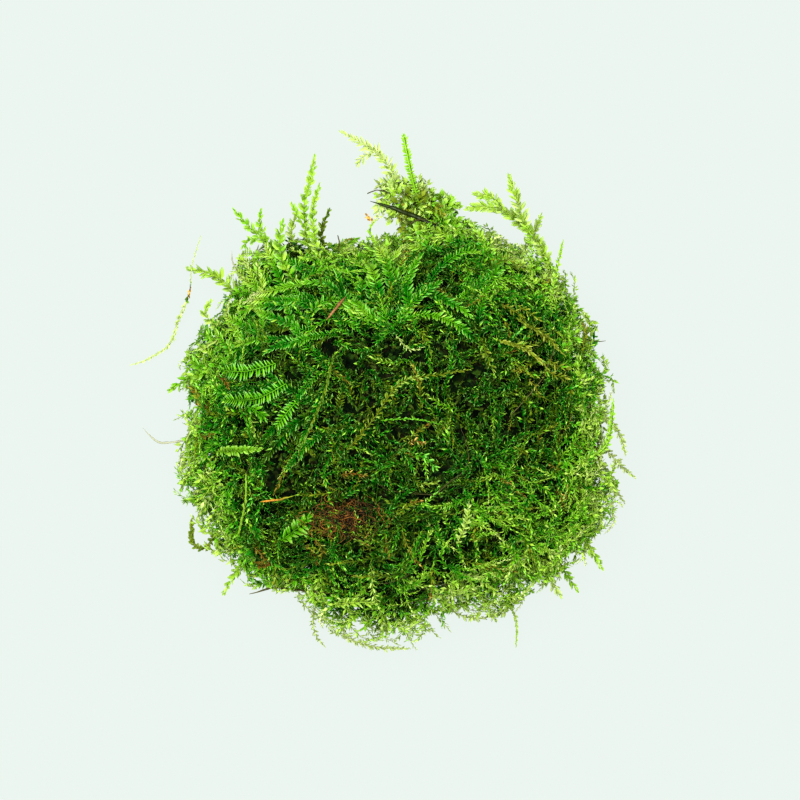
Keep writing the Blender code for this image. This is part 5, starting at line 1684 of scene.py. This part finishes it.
class MOSS_OT_add_old_stems(bpy.types.Operator):
    """Add the bare stems that run through the mat, and the matted rhizoids"""

    bl_idname = "moss.add_old_stems"
    bl_label = "Old Stems and Rhizoids"

    def execute(self, context):
        settings = context.scene.moss_stems
        chance = np.random.default_rng(settings.seed)
        count = settings.stems
        ways = random_ways(chance, count, -0.9, 0.99)
        paths, outs = walk(
            chance, DOME, ways, any_turns(chance, count),
            settings.stem_length / MM * chance.uniform(0.5, 1.5, count),
            (chance.uniform(-1.4, -0.4, count), chance.uniform(-0.6, 1.0, count)), 0.9, 0.35, 12,
        )
        lines = Lines(paths, outs, chance.uniform(0.2, 0.8, (count, 1)),
                      chance.uniform(0.5, 1.3, (count, 1)))
        for half, points in SHOWN_STEMS:
            line = smooth_line(points, SHOWN_STEM_POINTS)[None]
            lines.add(line, UP, 0.4, half * MM / settings.stem_radius)
        stems = grown(
            "old_stems_in_mat", lines, BARE, "old_stem", stem_radius=settings.stem_radius,
            segment_length=0.7 * MM, crook=0.8 * MM, sides=5, seed=settings.seed,
        )
        settled(stems, "old_stems")
        self.add_rhizoids(settings, chance)
        return {"FINISHED"}

    def add_rhizoids(self, settings, chance):
        """Hairs that wander to and fro near the middle of their patch."""
        count = settings.rhizoids
        spread = RHIZOID_SPREAD * chance.normal(0.0, 1.0, (count, 2))
        place = on_mat(RHIZOID_MIDDLE + spread, chance.uniform(-0.6, 1.7, count))
        angle = chance.uniform(0.0, math.tau, count)
        step = settings.rhizoid_length / MM / (RHIZOID_POINTS - 1)
        paths = np.empty((count, RHIZOID_POINTS, 3))
        for number_of in range(RHIZOID_POINTS):
            paths[:, number_of] = place
            angle = angle + chance.normal(0.0, 0.7, count)
            rise = chance.normal(0.0, 0.18, count)
            place = place + step * np.stack([np.cos(angle), np.sin(angle), rise], 1)
            place[:, :2] += (RHIZOID_MIDDLE - place[:, :2]) * RHIZOID_PULL
        lines = Lines(paths, UP, chance.uniform(0.1, 0.9, (count, 1)),
                      chance.uniform(0.6, 1.4, (count, 1)))
        hairs = grown(
            "rhizoid_mat", lines, BARE, "rhizoid", stem_radius=settings.rhizoid_radius,
            segment_length=0.45 * MM, crook=0.5 * MM, sides=3, seed=settings.seed,
        )
        settled(hairs, "rhizoids_and_twig", "rhizoid_tangle")


class MOSS_OT_add_standing_shoots(bpy.types.Operator):
    """Add each shoot and stem that stands clear of the mat's edge"""

    bl_idname = "moss.add_standing_shoots"
    bl_label = "Standing Shoots"

    def execute(self, context):
        for seed, (node, row) in enumerate(STANDING.items()):
            add_node_piece(node, row, row["path"], seed)
        return {"FINISHED"}


class MOSS_OT_add_lying_pieces(bpy.types.Operator):
    """Add the fronds, stems and scraps that lie on the mat"""

    bl_idname = "moss.add_lying_pieces"
    bl_label = "Lying Pieces"

    def execute(self, context):
        for seed, ((node, row), (line, _)) in enumerate(zip(LYING.items(), laid_paths())):
            add_node_piece(node, row, line[::3] + (0.0, 0.0, LYING_LIFT), seed)
        for name, finish, slot, rows in (
            ("shown_shoots", "fresh_leaf", "bright_shoots", SHOWN_SHOOTS),
            ("tan_shoots", "tan_leaf", "olive_shoots", TAN_SHOOTS),
        ):
            lines = Lines()
            for tint, leaf, points in rows:
                line = on_mat(smooth_line(points, LINE_POINTS), SHOWN_LIFT)
                lines.add(line[None], UP, tint, leaf)
            shown = leafy(name, lines, finish, context.scene.moss_fronds, leaf_length=1.0 * MM,
                          leaf_spacing=0.2 * MM, flatness=0.6, leaf_rings=3)
            settled(shown, slot)
        path = on_mat(LYING_STEM["path"], LYING_STEM_LIFTS)
        settled(bare_piece("lying_stem", LYING_STEM, path, 1), LYING_STEM["slot"])
        return {"FINISHED"}


class MOSS_OT_add_stage(bpy.types.Operator):
    """Add the pale light table, the soft light and the camera straight above"""

    bl_idname = "moss.add_stage"
    bl_label = "Stage"

    def execute(self, context):
        scene = context.scene
        scene.view_settings.view_transform = "Standard"
        scene.view_settings.look = "High Contrast"
        table_colour = (*scene.moss_colours.floor, 1.0)
        bpy.ops.mesh.primitive_circle_add(vertices=64, radius=TABLE_RADIUS, fill_type="NGON")
        floor = context.object
        floor.name = "light_table"
        material, nodes, shader = new_material("light_table")
        nodes.fill(shader, {
            "Base Color": (0.6, 0.66, 0.62, 1.0), "Roughness": 0.9, "Specular IOR Level": 0.0,
        })
        glow = nodes.out("ShaderNodeEmission", {"Color": table_colour, "Strength": 1.0})
        shown(nodes, TABLE_GLOW, shader, glow)
        floor.data.materials.append(material)

        world = bpy.data.worlds.new("soft_room")
        world.use_nodes = True
        scene.world = world
        Nodes(world.node_tree).fill(
            world.node_tree.nodes["Background"], {"Color": table_colour, "Strength": ROOM_LIGHT}
        )

        lamp = bpy.data.lights.new("soft_box", "AREA")
        lamp.shape, lamp.size, lamp.energy = "DISK", LAMP_SIZE, LAMP_POWER
        box = new_object("soft_box", lamp)
        box.location = LAMP_PLACE
        towards_clump = Vector((0.0, 0.0, 0.01)) - box.location
        box.rotation_euler = towards_clump.to_track_quat("-Z", "Y").to_euler()

        camera = bpy.data.cameras.new("camera_above")
        camera.lens, camera.sensor_width, camera.clip_end = 300.0, 36.0, 10.0
        eye = new_object("camera_above", camera)
        height = FIELD_HEIGHT + FIELD * camera.lens / camera.sensor_width
        eye.location = (*FIELD_MIDDLE, height)
        scene.camera = eye
        return {"FINISHED"}


class MOSS_PT_sidebar(bpy.types.Panel):
    """The steps that grow the clump"""

    bl_label = "Moss Clump"
    bl_space_type = "VIEW_3D"
    bl_region_type = "UI"
    bl_category = "Moss"

    def draw(self, context):
        for operator in OPERATORS:
            self.layout.operator(operator.bl_idname)
        for label in SETTINGS:
            box = self.layout.box()
            group = getattr(context.scene, label)
            for name in group.bl_rna.properties.keys():
                if name not in ("name", "rna_type"):
                    box.prop(group, name)


OPERATORS = (
    MOSS_OT_add_stage, MOSS_OT_add_tangle, MOSS_OT_add_litter, MOSS_OT_add_feather_fronds,
    MOSS_OT_add_fine_shoots, MOSS_OT_add_edge_shoots, MOSS_OT_add_top_lobe,
    MOSS_OT_add_underside, MOSS_OT_add_old_stems, MOSS_OT_add_standing_shoots,
    MOSS_OT_add_lying_pieces,
)
SETTINGS = {
    "moss_fronds": FeatherFrondSettings, "moss_fine": FineShootSettings,
    "moss_litter": LitterSettings, "moss_edge": EdgeShootSettings, "moss_under": UndersideSettings,
    "moss_stems": StemSettings, "moss_colours": ColourSettings,
}


def register():
    for group in SETTINGS.values():
        bpy.utils.register_class(group)
    for name, group in SETTINGS.items():
        setattr(bpy.types.Scene, name, PointerProperty(type=group))
    for operator in OPERATORS:
        bpy.utils.register_class(operator)
    bpy.utils.register_class(MOSS_PT_sidebar)


def unregister():
    bpy.utils.unregister_class(MOSS_PT_sidebar)
    for operator in reversed(OPERATORS):
        bpy.utils.unregister_class(operator)
    for name, group in SETTINGS.items():
        delattr(bpy.types.Scene, name)
        bpy.utils.unregister_class(group)


def main():
    register()
    for operator in OPERATORS:
        step = operator.bl_idname.split(".")[1]
        getattr(bpy.ops.moss, step)()


if __name__ == "__main__":
    main()
